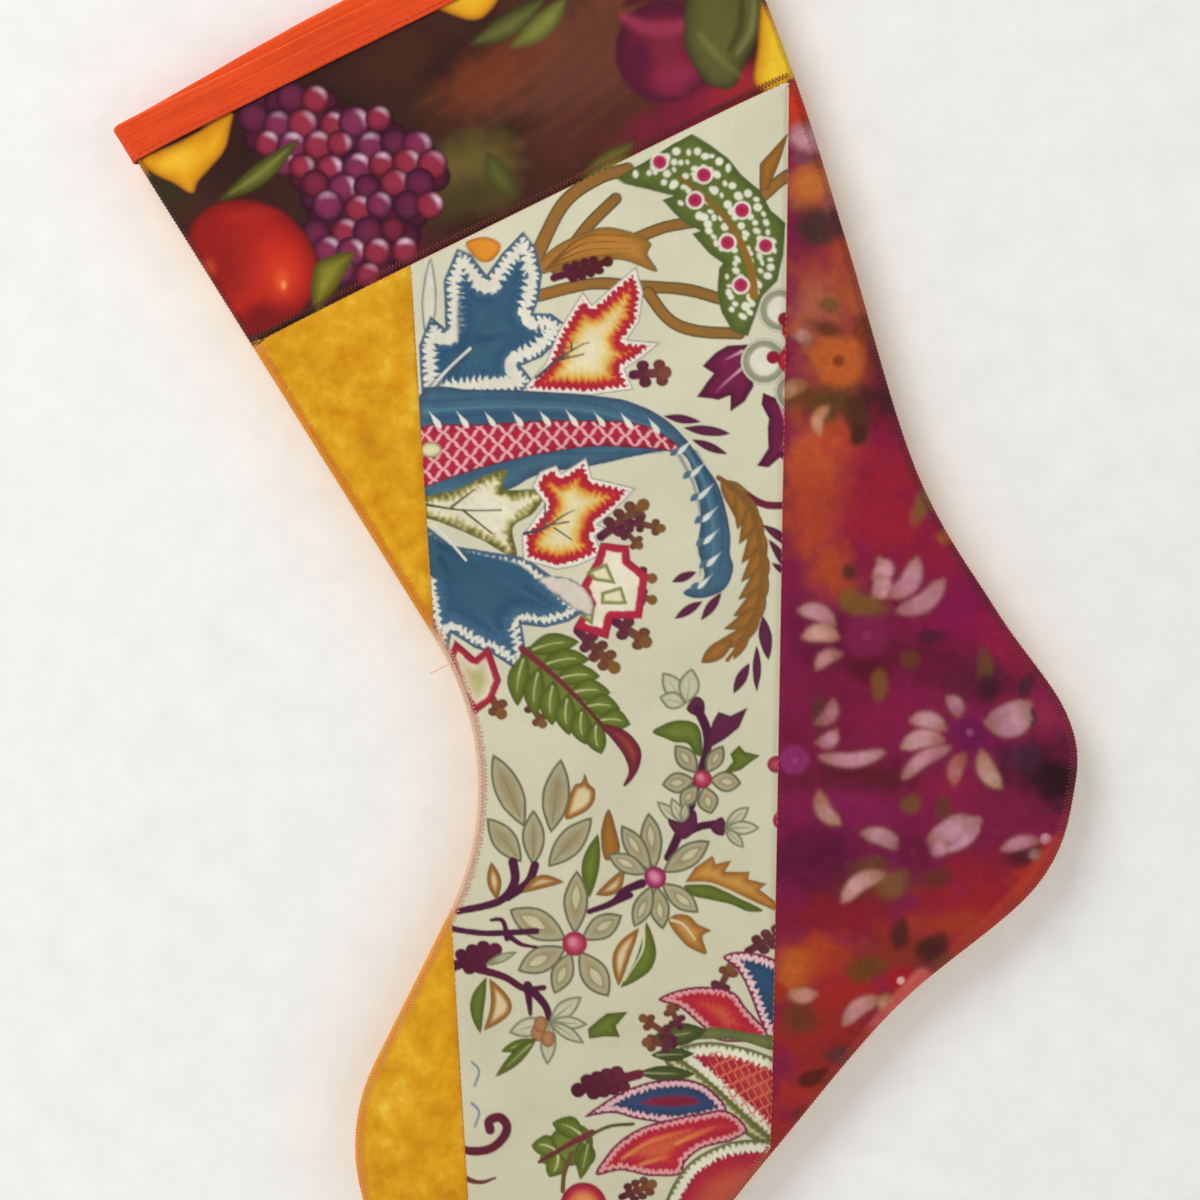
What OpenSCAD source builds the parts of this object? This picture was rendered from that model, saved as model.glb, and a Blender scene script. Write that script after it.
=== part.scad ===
// Hanging patchwork stocking: a quilted cloth boot that hangs from a tape loop.
// Frame: origin at the centre of the hook inside the loop, +Z up, the wall behind at +Y.
// Flat outlines are drawn as [s, t]: s along the mouth towards the heel, t down the leg.

/* [Stocking] */
// Width of the mouth, along the binding
mouth_w = 222; // [200:1:240]
// Height of the cuff, from the mouth to the cuff seam
cuff_h = 86; // [70:1:100]
// Angle that the mouth tilts as the stocking hangs, heel side up
hang_tilt = 26.2; // [20:0.1:32]
// Lean of the toe-side edge towards the heel
edge_lean = 5.8; // [3:0.1:8]
// Radius of the bend between the leg and the instep
ankle_r = 97; // [80:1:110]
// Slope of the instep, from the leg's direction
instep_angle = 52.6; // [48:0.1:56]
// Radius of the round toe
toe_r = 62.6; // [55:0.1:68]
// Distance of the toe's centre towards the toe side of the mouth's corner
toe_reach = 24.5; // [15:0.5:35]
// Distance of the toe's centre below the mouth
toe_drop = 375.5; // [360:0.5:390]
// Direction from the toe's centre in which the sole leaves the toe's circle
sole_angle = 66; // [62:0.5:72]

/* [Patchwork] */
// Place along the cuff seam where the golden wedge meets the floral panel
wedge_seam_s = 70; // [60:1:80]
// Lean of that seam, from the leg's direction
wedge_seam_angle = 22.7; // [20:0.1:25]
// Place along the cuff seam where the floral panel meets the batik panel
batik_seam_s = 214; // [205:0.5:215]
// Lean of that seam, from the leg's direction
batik_seam_angle = 27.2; // [25:0.1:30]
// Gap between two panels, where the seam turns them under
seam_gap = 0.4; // [0.3:0.05:0.6]

/* [Layers] */
// Half the depth of the space inside
half_cavity = 3.0; // [2.8:0.1:4]
// Thickness of the lining cloth
lining_t = 0.5; // [0.3:0.1:0.8]
// Thickness of the batting
batting_t = 1.6; // [1:0.1:3]
// Thickness of the outer cloth
shell_t = 0.6; // [0.4:0.1:1]
// Clearance between two layers
layer_gap = 0.1; // [0.05:0.01:0.2]

/* [Binding and stitching] */
// Height of the binding's face
binding_h = 12.6; // [10:0.1:14]
// Thickness of the folded binding
binding_t = 0.6; // [0.4:0.1:1]
// Thickness of the binding's inner fold
inner_fold_t = 0.5; // [0.3:0.1:0.8]
// How far the overcast stitching stands out past the cloth's edge
overcast_out = 1.0; // [0.6:0.1:1.4]
// How far the overcast stitching reaches in over each face
overcast_in = 3.0; // [2:0.1:4]
// Width of a line of topstitching
thread_w = 0.8; // [0.4:0.1:1.2]
// Thickness of a sewing thread
thread_t = 0.3; // [0.2:0.05:0.4]
// Height of the zigzag that holds the cuff seam down
zigzag_w = 2.2; // [1.5:0.1:3]

/* [Hanging loop] */
// Width of the loop's tape
tape_w = 12; // [10:0.5:14]
// Thickness of the folded tape
tape_t = 1.2; // [0.8:0.1:1.6]
// Inside radius of the loop where it lies over the hook
crown_r = 6; // [5:0.1:8]
// Half the arc of tape that stays on the hook
crown_half_arc = 56; // [40:1:56]
// Length of each leg between the crown and the fold, before it starts to turn
leg_straight = 15; // [12:1:20]
// Length over which each leg turns flat to the stocking
leg_turn = 19; // [16:1:24]
// Drop from the hook to the stocking's mouth, straight below
loop_drop = 44.5; // [43:0.5:50]
// Place along the mouth of the loop, above the stocking's balance point
loop_s = 192; // [188:0.1:204]
// Length of tape sewn down inside the mouth
tail_len = 17; // [14:1:24]

/* [Hidden] */

// Distances from the middle plane to each layer's inner face
lining_y = half_cavity;
batting_y = lining_y + lining_t + layer_gap;
shell_y = batting_y + batting_t + layer_gap;
cover_y = shell_y + shell_t + layer_gap;
outer_y = cover_y + binding_t;
inner_fold_y = half_cavity - layer_gap - inner_fold_t;

// Centre lines and places of the loop
leg_x = crown_r + tape_t / 2;
fold_gap = 1;
tails_y = inner_fold_y - layer_gap - tape_t;

// Sides of a square that covers the whole stocking
far = 600;

// A unit vector at an angle from the s axis
function along(a) = [cos(a), sin(a)];
function crossed(a, b) = a[0] * b[1] - a[1] * b[0];
function arc(c, r, a0, a1, n) = [for (i = [0:n]) c + r * along(a0 + (a1 - a0) * i / n)];

// A smooth curve through all points but the first and last
function curve(p, n) = [
    for (i = [1:len(p) - 3], j = [0:n - 1])
        let (f = j / n)
            (2 * p[i] + (p[i + 1] - p[i - 1]) * f
            + (2 * p[i - 1] - 5 * p[i] + 4 * p[i + 1] - p[i + 2]) * f ^ 2
            + (3 * p[i] - p[i - 1] - 3 * p[i + 1] + p[i + 2]) * f ^ 3) / 2
];

// The toe side: a straight edge, the bend at the ankle and the straight instep
toe_c = [-toe_reach + 1, toe_drop];
corner = [1, 0];
leg_dir = along(90 - edge_lean);
instep_dir = along(90 + instep_angle);
instep_end = toe_c - toe_r * along(instep_angle);
ankle_run = crossed(instep_end - corner, instep_dir) / crossed(leg_dir, instep_dir);
ankle_turn = (instep_angle + edge_lean) / 2;
ankle_c = corner + (ankle_run - ankle_r * tan(ankle_turn)) * leg_dir
    - ankle_r * along(-edge_lean);

// The toe's arc stops one step short of the point where the sole starts
toe_step = 7.5;

// The heel side, from the sole's end at the toe up to the mouth
sole_start = toe_c + toe_r * along(sole_angle);
heel_side = [
    sole_start - [50, -22], sole_start, [49, 411], [107, 386], [167.5, 370.5],
    [194, 346.5], [203, 322], [197, 280], [193.5, 225], [206.5, 145],
    [mouth_w - 6.5, cuff_h], [mouth_w + 1, 0], [mouth_w + 7, -86]
];

boot = concat(
    [corner],
    arc(ankle_c, ankle_r, -edge_lean, instep_angle, 12),
    arc(toe_c, toe_r, 180 + instep_angle, sole_angle + toe_step, 21),
    curve(heel_side, 5),
    [[mouth_w + 1, 0]]
);

// The same outline with each point moved outwards
function grown(p, d) = [
    for (i = [0:len(p) - 1])
        let (e = p[(i + 1) % len(p)] - p[(i + len(p) - 1) % len(p)])
            p[i] + d * [-e[1], e[0]] / norm(e)
];

// Draws [s, t] points as a flat shape with t downwards
module flat(p) {
    polygon([for (q = p) [q[0], -q[1]]]);
}

// A band of the stocking between two depths below the mouth
module depth_band(t0, t1) {
    flat([[-far, t0], [far, t0], [far, t1], [-far, t1]]);
}

// Everything on the toe side of a seam that crosses the cuff seam at s
module toe_side_of(s, angle, gap) {
    d = along(90 + angle);
    a = [s - gap / 2 / cos(angle), cuff_h];
    flat([a - far * d, a + far * d, a + far * d - [far, 0], a - far * d - [far, 0]]);
}

module heel_side_of(s, angle, gap) {
    d = along(90 + angle);
    a = [s + gap / 2 / cos(angle), cuff_h];
    flat([a - far * d, a + far * d, a + far * d + [far, 0], a - far * d + [far, 0]]);
}

// Places flat shapes on the hanging stocking, from depth y to depth y + thickness
module hung(y, thickness) {
    translate([0, 0, -loop_drop])
        rotate([0, -hang_tilt, 0])
            translate([-loop_s, y + thickness, 0])
                rotate([90, 0, 0])
                    linear_extrude(thickness) children();
}

// The same layer on the front or on the back
module front(y, thickness) {
    hung(-y - thickness, thickness) children();
}

module back(y, thickness) {
    hung(y, thickness) children();
}

module whole_boot() {
    flat(boot);
}

module below_cuff() {
    intersection() {
        whole_boot();
        depth_band(cuff_h + seam_gap, far);
    }
}

module front_cuff_band() {
    color("saddlebrown") front(shell_y, shell_t) intersection() {
        whole_boot();
        depth_band(0, cuff_h);
    }
}

module front_leg_wedge() {
    color("goldenrod") front(shell_y, shell_t) intersection() {
        below_cuff();
        toe_side_of(wedge_seam_s, wedge_seam_angle, seam_gap);
        depth_band(0, ankle_c[1] + 45);
    }
}

module front_toe_panel() {
    color("goldenrod") front(shell_y, shell_t) intersection() {
        below_cuff();
        toe_side_of(wedge_seam_s, wedge_seam_angle, seam_gap);
        depth_band(ankle_c[1] + 45, far);
    }
}

module front_center_panel() {
    color("cornsilk") front(shell_y, shell_t) intersection() {
        below_cuff();
        heel_side_of(wedge_seam_s, wedge_seam_angle, seam_gap);
        toe_side_of(batik_seam_s, batik_seam_angle, seam_gap);
    }
}

module front_batik_panel() {
    color("mediumvioletred") front(shell_y, shell_t) intersection() {
        below_cuff();
        heel_side_of(batik_seam_s, batik_seam_angle, seam_gap);
    }
}

// One thread in the gap between two panels
module seam_line(s, angle, t0, t1) {
    d = along(90 + angle) / cos(angle);
    a = [s, cuff_h] + (t0 - cuff_h) * d;
    b = [s, cuff_h] + (t1 - cuff_h) * d;
    w = [seam_gap / 4, 0];
    flat([a - w, a + w, b + w, b - w]);
}

module patchwork_seam_threads() {
    color("goldenrod") front(shell_y, thread_t) {
        depth_line(cuff_h + seam_gap / 2, seam_gap / 2, overcast_in + 8);
        intersection() {
            flat(grown(boot, -overcast_in));
            union() {
                seam_line(wedge_seam_s, wedge_seam_angle, cuff_h + 1, 205);
                seam_line(wedge_seam_s, wedge_seam_angle, 292, 378);
                seam_line(batik_seam_s, batik_seam_angle, cuff_h + 16, 400);
            }
        }
    }
}

// A straight line of stitching at one depth, kept in from both edges
module depth_line(t, w, inset) {
    intersection() {
        flat(grown(boot, -inset));
        depth_band(t - w / 2, t + w / 2);
    }
}

module cuff_seam_stitches() {
    color("darkred") front(cover_y, thread_t)
        depth_line(cuff_h - 1 - zigzag_w / 2, zigzag_w, overcast_in + 1);
}

module front_batting() {
    color("whitesmoke") front(batting_y, batting_t) whole_boot();
}

module front_lining() {
    color("antiquewhite") front(lining_y, lining_t) whole_boot();
}

module back_lining() {
    color("antiquewhite") back(lining_y, lining_t) whole_boot();
}

module back_batting() {
    color("whitesmoke") back(batting_y, batting_t) whole_boot();
}

module back_panel() {
    color("goldenrod") back(shell_y, shell_t) whole_boot();
}

// A frame of binding over one wall's top edge: two faces and the fold over the top
module binding_fold(side) {
    reach = outer_y - inner_fold_y;
    y0 = side < 0 ? -outer_y : inner_fold_y;
    cloth = cover_y - lining_y + layer_gap;
    difference() {
        hung(y0, reach) mouth_fill();
        hung(side * (lining_y - layer_gap) - (side < 0 ? cloth : 0), cloth) wall_slot();
    }
}

// The binding's flat face, a little wider than the mouth, with its fold on top
module mouth_fill() {
    e = overcast_out;
    slope = tan(edge_lean);
    heel_slope = 7.5 / cuff_h;
    top = -binding_t - layer_gap;
    flat([
        [1 - e, top], [mouth_w + 1 + e, top],
        [mouth_w + 1 + e - heel_slope * binding_h, binding_h],
        [1 - e + slope * binding_h, binding_h]
    ]);
}

// Room for the cloth edge inside the fold
module wall_slot() {
    flat([
        [1 - layer_gap, -layer_gap], [mouth_w + 1 + layer_gap, -layer_gap],
        [mouth_w + 1 + layer_gap - 7.5 * 20 / cuff_h, 20],
        [1 - layer_gap + tan(edge_lean) * 20, 20]
    ]);
}

// The binding's turn round each side seam
module binding_side(heel) {
    e = overcast_out;
    top = -binding_t - layer_gap;
    slope = heel ? -7.5 / cuff_h : tan(edge_lean);
    s_out = heel ? mouth_w + 1 + e : 1 - e;
    s_in = heel ? mouth_w + 1 + layer_gap : 1 - layer_gap;
    hung(-outer_y, 2 * outer_y)
        flat([[s_out, top], [s_in, top], [s_in + slope * binding_h, binding_h],
            [s_out + slope * binding_h, binding_h]]);
}

module top_binding() {
    color("orangered") {
        binding_fold(-1);
        binding_fold(1);
        binding_side(false);
        binding_side(true);
    }
}

module binding_stitches() {
    color("orange") {
        front(outer_y + layer_gap / 2, thread_t) depth_line(binding_h - 1.5, thread_w, 1);
        back(outer_y + layer_gap / 2, thread_t) depth_line(binding_h - 1.5, thread_w, 1);
    }
}

// The overcast seam: stitches that wrap the edge and reach in over each face
module edge_overcast() {
    color("sandybrown") difference() {
        hung(-outer_y, 2 * outer_y) intersection() {
            flat(grown(boot, overcast_out));
            depth_band(binding_h + layer_gap, far);
        }
        hung(-outer_y - 1, 2 * outer_y + 2) flat(grown(boot, -overcast_in));
        hung(-cover_y, 2 * cover_y) flat(grown(boot, layer_gap));
    }
}

// The tape that lies over the hook
module loop_crown() {
    color("orangered")
        rotate([90, 0, 0])
            rotate([0, 0, 90 - crown_half_arc])
                translate([0, 0, -tape_w / 2])
                    rotate_extrude(angle = 2 * crown_half_arc, $fn = 96)
                        translate([crown_r, 0])
                            square([tape_t, tape_w]);
}

// One leg: straight down from the crown, then turned flat to the stocking
module loop_leg(side) {
    translate([side * leg_x, 0, 0]) {
        translate([-tape_t / 2, -tape_w / 2, -leg_straight])
            cube([tape_t, tape_w, leg_straight - 0.4]);
        translate([0, 0, -leg_straight - leg_turn])
            rotate([0, 0, side * 90])
                linear_extrude(leg_turn + 0.01, twist = side * 90, slices = 10)
                    square([tape_t, tape_w], center = true);
    }
}

module loop_legs() {
    color("orangered") {
        loop_leg(-1);
        loop_leg(1);
    }
}

// The two ends of the tape, sewn down inside the mouth
module loop_tails() {
    color("orangered")
        for (side = [-1, 1])
            translate([side * leg_x - tape_w / 2, tails_y, -loop_drop - tail_len])
                cube([tape_w, tape_t, tail_len + loop_drop - tails_top()]);
}

// Depth below the hook at which the sewn ends start
function tails_top() = leg_straight + leg_turn + 2 * fold_gap;

// A bar of close stitches across both ends of the tape
module loop_tack_stitches() {
    color("orange")
        for (row = [0, 1])
            translate([-leg_x - tape_w / 2, tails_y - layer_gap - thread_t,
                -loop_drop - tail_len + 3 + 5 * row])
                cube([2 * leg_x + tape_w, thread_t, thread_w]);
}

loop_crown();
loop_legs();
loop_tails();
loop_tack_stitches();
top_binding();
binding_stitches();
front_cuff_band();
cuff_seam_stitches();
front_leg_wedge();
front_center_panel();
front_batik_panel();
front_toe_panel();
patchwork_seam_threads();
front_batting();
front_lining();
back_lining();
back_batting();
back_panel();
edge_overcast();
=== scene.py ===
"""Hanging patchwork stocking: cloth, prints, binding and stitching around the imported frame.

Lengths here are millimetres. Flat cloth is described as (s, t): s runs along the mouth towards
the heel side and t down the leg, and place() hangs it in the frame, in metres.
"""
import math

import bpy
import numpy as np
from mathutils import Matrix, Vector
from mathutils.geometry import delaunay_2d_cdt


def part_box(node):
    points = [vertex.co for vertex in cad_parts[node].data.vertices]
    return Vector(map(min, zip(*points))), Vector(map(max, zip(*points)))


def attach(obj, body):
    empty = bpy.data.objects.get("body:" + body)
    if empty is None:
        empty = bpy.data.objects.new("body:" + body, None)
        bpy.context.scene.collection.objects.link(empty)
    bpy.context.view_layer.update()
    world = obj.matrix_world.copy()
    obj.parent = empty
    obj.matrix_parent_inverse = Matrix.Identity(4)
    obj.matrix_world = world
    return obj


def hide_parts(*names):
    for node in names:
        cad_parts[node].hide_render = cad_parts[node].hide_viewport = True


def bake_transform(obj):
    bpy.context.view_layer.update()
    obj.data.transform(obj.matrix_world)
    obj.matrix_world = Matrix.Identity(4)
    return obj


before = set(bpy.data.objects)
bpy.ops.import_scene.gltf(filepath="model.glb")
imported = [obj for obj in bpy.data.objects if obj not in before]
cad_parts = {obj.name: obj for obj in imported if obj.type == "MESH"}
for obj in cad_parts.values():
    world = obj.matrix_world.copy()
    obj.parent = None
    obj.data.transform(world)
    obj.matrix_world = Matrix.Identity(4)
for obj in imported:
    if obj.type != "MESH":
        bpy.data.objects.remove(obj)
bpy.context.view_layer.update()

MM = 0.001
TILT = math.radians(26.2)
MOUTH_W = 222.0
CUFF_H = 86.0
BINDING_H = 12.6
ON_HOOK, LOOP, STOCKING = "loop_on_hook", "loop", "stocking"

lining_lo, lining_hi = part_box("front_lining")
# The mouth's toe-side corner: the cloth's leftmost point, level with the mouth's line
CORNER_X = lining_lo[0] / MM - math.cos(TILT)
CORNER_Z = lining_hi[2] / MM - (MOUTH_W + 1) * math.sin(TILT)


def place(s, t, y):
    """World points, in metres, of flat cloth points at depth y (towards the wall is positive)."""
    x = CORNER_X + s * math.cos(TILT) + t * math.sin(TILT)
    z = CORNER_Z + s * math.sin(TILT) - t * math.cos(TILT)
    return np.stack([x, np.broadcast_to(y, x.shape), z], axis=-1) * MM


def unit(a):
    return np.array([math.cos(math.radians(a)), math.sin(math.radians(a))])


def smoothstep(a, b, x):
    f = np.clip((x - a) / (b - a), 0, 1)
    return f * f * (3 - 2 * f)


def curve(points, n=8, closed=False):
    """A smooth curve through the points. A point given twice makes a corner."""
    p = np.array(points, float)
    p = np.vstack([p[-1], p, p[0], p[1]]) if closed else np.vstack([p[0], p, p[-1]])
    f = np.linspace(0, 1, n, endpoint=False)[:, None]
    out = []
    for a, b, c, d in zip(p[:-3], p[1:-2], p[2:-1], p[3:]):
        if np.allclose(b, c):
            continue
        out.append((2 * b + (c - a) * f + (2 * a - 5 * b + 4 * c - d) * f**2
                    + (3 * b - a - 3 * c + d) * f**3) / 2)
    return np.vstack(out if closed else out + [p[-2:-1]])


# ---------------------------------------------------------------- the cut of the stocking

EDGE_LEAN, INSTEP_ANGLE = 5.8, 52.6
ANKLE_R, TOE_R, SOLE_ANGLE = 97.0, 62.6, 66.0
TOE_C = np.array([-23.5, 375.5])
WEDGE_SEAM = (70.0, 22.7)
BATIK_SEAM = (214.0, 27.2)


def arc(c, r, a0, a1, n):
    return np.array([c + r * unit(a) for a in np.linspace(a0, a1, n)])


def boot_outline():
    """The stocking's edge, from the mouth's toe-side corner round the toe to the other corner."""
    corner = np.array([1.0, 0.0])
    leg, instep = unit(90 - EDGE_LEAN), unit(90 + INSTEP_ANGLE)
    end = TOE_C - TOE_R * unit(INSTEP_ANGLE)
    run = np.cross(end - corner, instep) / np.cross(leg, instep)
    turn = math.radians((INSTEP_ANGLE + EDGE_LEAN) / 2)
    ankle = corner + (run - ANKLE_R * math.tan(turn)) * leg - ANKLE_R * unit(-EDGE_LEAN)
    sole = TOE_C + TOE_R * unit(SOLE_ANGLE)
    heel = curve([sole - (50, -22), sole, (49, 411), (107, 386), (167.5, 370.5), (194, 346.5),
                  (203, 322), (197, 280), (193.5, 225), (206.5, 145),
                  (MOUTH_W - 6.5, CUFF_H), (MOUTH_W + 1, 0), (MOUTH_W + 7, -CUFF_H)], 8)
    keep = (heel[:, 1] > 0) & (np.arange(len(heel)) > 8)
    return np.vstack([
        corner,
        arc(ankle, ANKLE_R, -EDGE_LEAN, INSTEP_ANGLE, 20),
        arc(TOE_C, TOE_R, 180 + INSTEP_ANGLE, SOLE_ANGLE, 40),
        heel[keep],
        (MOUTH_W + 1, 0)])


BOOT = boot_outline()


def half_plane(poly, point, normal):
    """The part of a polygon on the side of a line that its normal points to."""
    side = (poly - point) @ normal
    out = []
    for i in range(len(poly)):
        a, b, da, db = poly[i - 1], poly[i], side[i - 1], side[i]
        if da * db < 0:
            out.append(a + (b - a) * da / (da - db))
        if db >= 0:
            out.append(b)
    return np.array(out)


def seam_side(poly, seam, side):
    """The part of a panel on one side of a patchwork seam: -1 towards the toe side, 1 the heel side."""
    along = unit(90 + seam[1])
    return half_plane(poly, np.array([seam[0], CUFF_H]), side * np.array([along[1], -along[0]]))


def below(poly, t):
    return half_plane(poly, np.array([0.0, t]), np.array([0.0, 1.0]))


def above(poly, t):
    return half_plane(poly, np.array([0.0, t]), np.array([0.0, -1.0]))


LEG = below(BOOT, CUFF_H)
TOE_SIDE = seam_side(LEG, WEDGE_SEAM, -1)
CUTS = {
    "cuff": above(BOOT, CUFF_H),
    "wedge": above(TOE_SIDE, 250),
    "toe": below(TOE_SIDE, 250),
    "floral": seam_side(seam_side(LEG, WEDGE_SEAM, 1), BATIK_SEAM, -1),
    "batik": seam_side(LEG, BATIK_SEAM, 1),
}


def inside_boot(p):
    a, b = BOOT, np.roll(BOOT, -1, axis=0)
    cross = (a[:, 1] > p[1]) != (b[:, 1] > p[1])
    x = a[:, 0] + (p[1] - a[:, 1]) / np.where(cross, b[:, 1] - a[:, 1], 1) * (b[:, 0] - a[:, 0])
    return np.sum(cross & (p[0] < x)) % 2 == 1


def line_distance(s, t, a, b):
    """Distance from points to the segment a-b."""
    ab = b - a
    f = np.clip(((s - a[0]) * ab[0] + (t - a[1]) * ab[1]) / max(ab @ ab, 1e-9), 0, 1)
    return np.hypot(s - a[0] - f * ab[0], t - a[1] - f * ab[1])


def edge_distance(s, t):
    """Distance to the sewn edge, which is the whole outline but the mouth."""
    out = np.full(np.shape(s), 1e3)
    for a, b in zip(BOOT[:-1], BOOT[1:]):
        np.minimum(out, line_distance(s, t, a, b), out=out)
    return out


def seam_distance(s, t):
    """Distance to the nearest patchwork seam."""
    out = np.abs(t - CUFF_H)
    for s0, angle in (WEDGE_SEAM, BATIK_SEAM):
        along = unit(90 + angle)
        a = np.array([s0, CUFF_H])
        np.minimum(out, line_distance(s, t, a, a + 420 * along), out=out)
    return out


def wobble(s, t, seed, size):
    """A smooth random field in -1..1, made of a few slow waves."""
    rng = np.random.default_rng(seed)
    out = 0
    for _ in range(7):
        k, phase = rng.normal(0, 2 / size, 2), rng.uniform(0, 2 * math.pi)
        out = out + np.sin(k[0] * s + k[1] * t + phase)
    return out / 4


# ---------------------------------------------------------------- how thick each wall is

EDGE_HALF, LOFT = 1.25, 4.1
CAVITY_EDGE, CAVITY = 0.15, 1.9
SHELL_T, LINING_T, LAYER_GAP = 0.35, 0.35, 0.08
MOUTH_WALL = 2.2


def mouth_mid(s, side):
    """Depth of the middle of a wall at the mouth, where the front gapes a little more."""
    f = smoothstep(0, 20, s) * smoothstep(0, 20, MOUTH_W - s)
    return 1.7 + (1.7 if side < 0 else 1.4) * f


def mouth_rise(s, t, side):
    """How far the cloth near the mouth stands above where it was cut, most in the mouth's middle."""
    bow = np.sin(np.pi * np.clip(s / MOUTH_W, 0, 1))
    return (0.5 if side < 0 else 7.6) * bow ** 0.8 * (1 - smoothstep(0, 80, t))


def rounding(d):
    """The share of its full loft a wall has at a distance from the sewn edge."""
    return (1 - (1 - np.clip((d - 1.2) / 27, 0, 1)) ** 2) ** 0.7


def blown_bag():
    """A closed bag of the stocking's cut with a little air pressed in, for the walls' loft."""
    hem, _ = resample(np.vstack([BOOT, BOOT[:1]]), 6.5)
    hem = hem[:-1]
    s, t = np.meshgrid(np.arange(-90, 232, 6.5), np.arange(3, 445, 5.6))
    s[1::2] += 3.25
    s, t = s.ravel(), t.ravel()
    keep = np.array([inside_boot(q) for q in np.stack([s, t], 1)]) & (edge_distance(s, t) > 3.6) & (t > 4)
    pts = [Vector(q) for q in np.vstack([hem, np.stack([s, t], 1)[keep]]).tolist()]
    verts, _, faces, _, _, _ = delaunay_2d_cdt(pts, [], [list(range(len(hem)))], 1, 1e-5)
    flat = np.array([tuple(v) for v in verts])
    rim = np.minimum(edge_distance(flat[:, 0], flat[:, 1]), np.abs(flat[:, 1])) < 0.4
    start = 3.2 * rounding(np.minimum(edge_distance(flat[:, 0], flat[:, 1]), np.abs(flat[:, 1]) + 1))
    twin = np.where(rim, np.arange(len(flat)), len(flat) + np.cumsum(~rim) - 1)
    above_plane = np.column_stack([flat, start]) * MM
    under_plane = np.column_stack([flat, -start])[~rim] * MM
    tri = np.array([list(f) for f in faces if len(f) == 3])
    bag = new_mesh("bag", np.vstack([above_plane, under_plane]), [tri, twin[tri][:, ::-1]])
    group = bag.vertex_groups.new(name="mouth")
    group.add([int(i) for i in np.nonzero(rim & (flat[:, 1] < 1))[0]], 1.0, "ADD")
    cloth_mod = bag.modifiers.new("cloth", "CLOTH")
    how = cloth_mod.settings
    how.quality, how.mass = 6, 0.2
    how.tension_stiffness = how.compression_stiffness = 22
    how.shear_stiffness, how.bending_stiffness = 9, 0.6
    how.vertex_group_mass = "mouth"
    how.use_pressure, how.uniform_pressure_force = True, 0.55
    how.effector_weights.gravity = 0
    cloth_mod.collision_settings.use_collision = False
    cloth_mod.point_cache.frame_end = 24
    scene = bpy.context.scene
    for f in range(1, 25):
        scene.frame_set(f)
    result = bag.evaluated_get(bpy.context.evaluated_depsgraph_get()).data
    co = np.empty(len(result.vertices) * 3)
    result.vertices.foreach_get("co", co)
    co = co.reshape(-1, 3) / MM
    bpy.data.objects.remove(bag)
    scene.frame_set(1)
    up = np.clip(co[:len(flat), 2], 0, 16)
    down = np.clip(-co[twin, 2], 0, 16)
    return flat, up, down


class Loft:
    """The share of full loft over each wall, on a grid."""

    def __init__(self):
        self.step, self.s0, self.t0 = 3.0, -95.0, -3.0
        s = np.arange(self.s0, 238, self.step)
        t = np.arange(self.t0, 446, self.step)
        ss, tt = np.meshgrid(s, t)
        smooth = rounding(edge_distance(ss, tt))
        self.grid = {side: smooth * (1 + 0.10 * wobble(ss, tt, 3 + side, 60)) for side in (-1, 1)}
        flat, *sides = blown_bag()
        q = np.stack([ss.ravel(), tt.ravel()], 1)
        for side, h in zip((-1, 1), sides):
            fine, broad = np.empty(len(q)), np.empty(len(q))
            for i in range(0, len(q), 1000):
                apart = np.sum((q[i:i + 1000, None] - flat[None]) ** 2, axis=2)
                for out, reach in ((fine, 3.4), (broad, 14.0)):
                    w = np.exp(-apart / (2 * reach**2)) + 1e-12
                    out[i:i + 1000] = (w @ h) / w.sum(axis=1)
            full = np.percentile(h, 92)
            inland = smoothstep(8, 30, edge_distance(ss, tt))
            crease = ((fine - broad) / full).reshape(ss.shape)
            creased = (fine / full).reshape(ss.shape) + 1.1 * inland * crease
            self.grid[side] = 0.3 * smooth + 0.7 * np.clip(creased, 0, 1.2)

    def at(self, s, t, side):
        g = self.grid[side]
        x = np.clip((s - self.s0) / self.step, 0, g.shape[1] - 1.001)
        y = np.clip((t - self.t0) / self.step, 0, g.shape[0] - 1.001)
        i, j = np.asarray(x).astype(int), np.asarray(y).astype(int)
        fx, fy = x - i, y - j
        fx, fy = fx * fx * (3 - 2 * fx) * 0.5 + fx * 0.5, fy * fy * (3 - 2 * fy) * 0.5 + fy * 0.5
        return ((g[j, i] * (1 - fx) + g[j, i + 1] * fx) * (1 - fy)
                + (g[j + 1, i] * (1 - fx) + g[j + 1, i + 1] * fx) * fy)


def wall(s, t, side):
    """Inner and outer depth of a wall, front (-1) or back (1), from the middle plane."""
    d = edge_distance(s, t)
    puff = LOFT_MAP.at(s, t, side) * rounding(d) ** 0.35 * (d > 1.2)
    inner = CAVITY_EDGE + CAVITY * puff
    outer = EDGE_HALF + LOFT * puff
    if side < 0:
        outer = outer - 0.75 * np.exp(-(seam_distance(s, t) / 1.3) ** 2) * np.clip(d / 3, 0, 1)
    m = 1 - smoothstep(9, 30, t)
    mid = mouth_mid(s, side)
    return inner * (1 - m) + (mid - MOUTH_WALL / 2) * m, outer * (1 - m) + (mid + MOUTH_WALL / 2) * m


def layer(s, t, side, name):
    """Near and far faces of one layer of a wall, as signed depths."""
    inner, outer = wall(s, t, side)
    if name == "shell":
        a, b = outer - SHELL_T, outer
    elif name == "lining":
        a, b = inner, inner + LINING_T
    else:
        a, b = inner + LINING_T + LAYER_GAP, np.maximum(outer - SHELL_T - 0.9, inner + LINING_T + 0.15)
    return side * a, side * b


# ---------------------------------------------------------------- meshes

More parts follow.
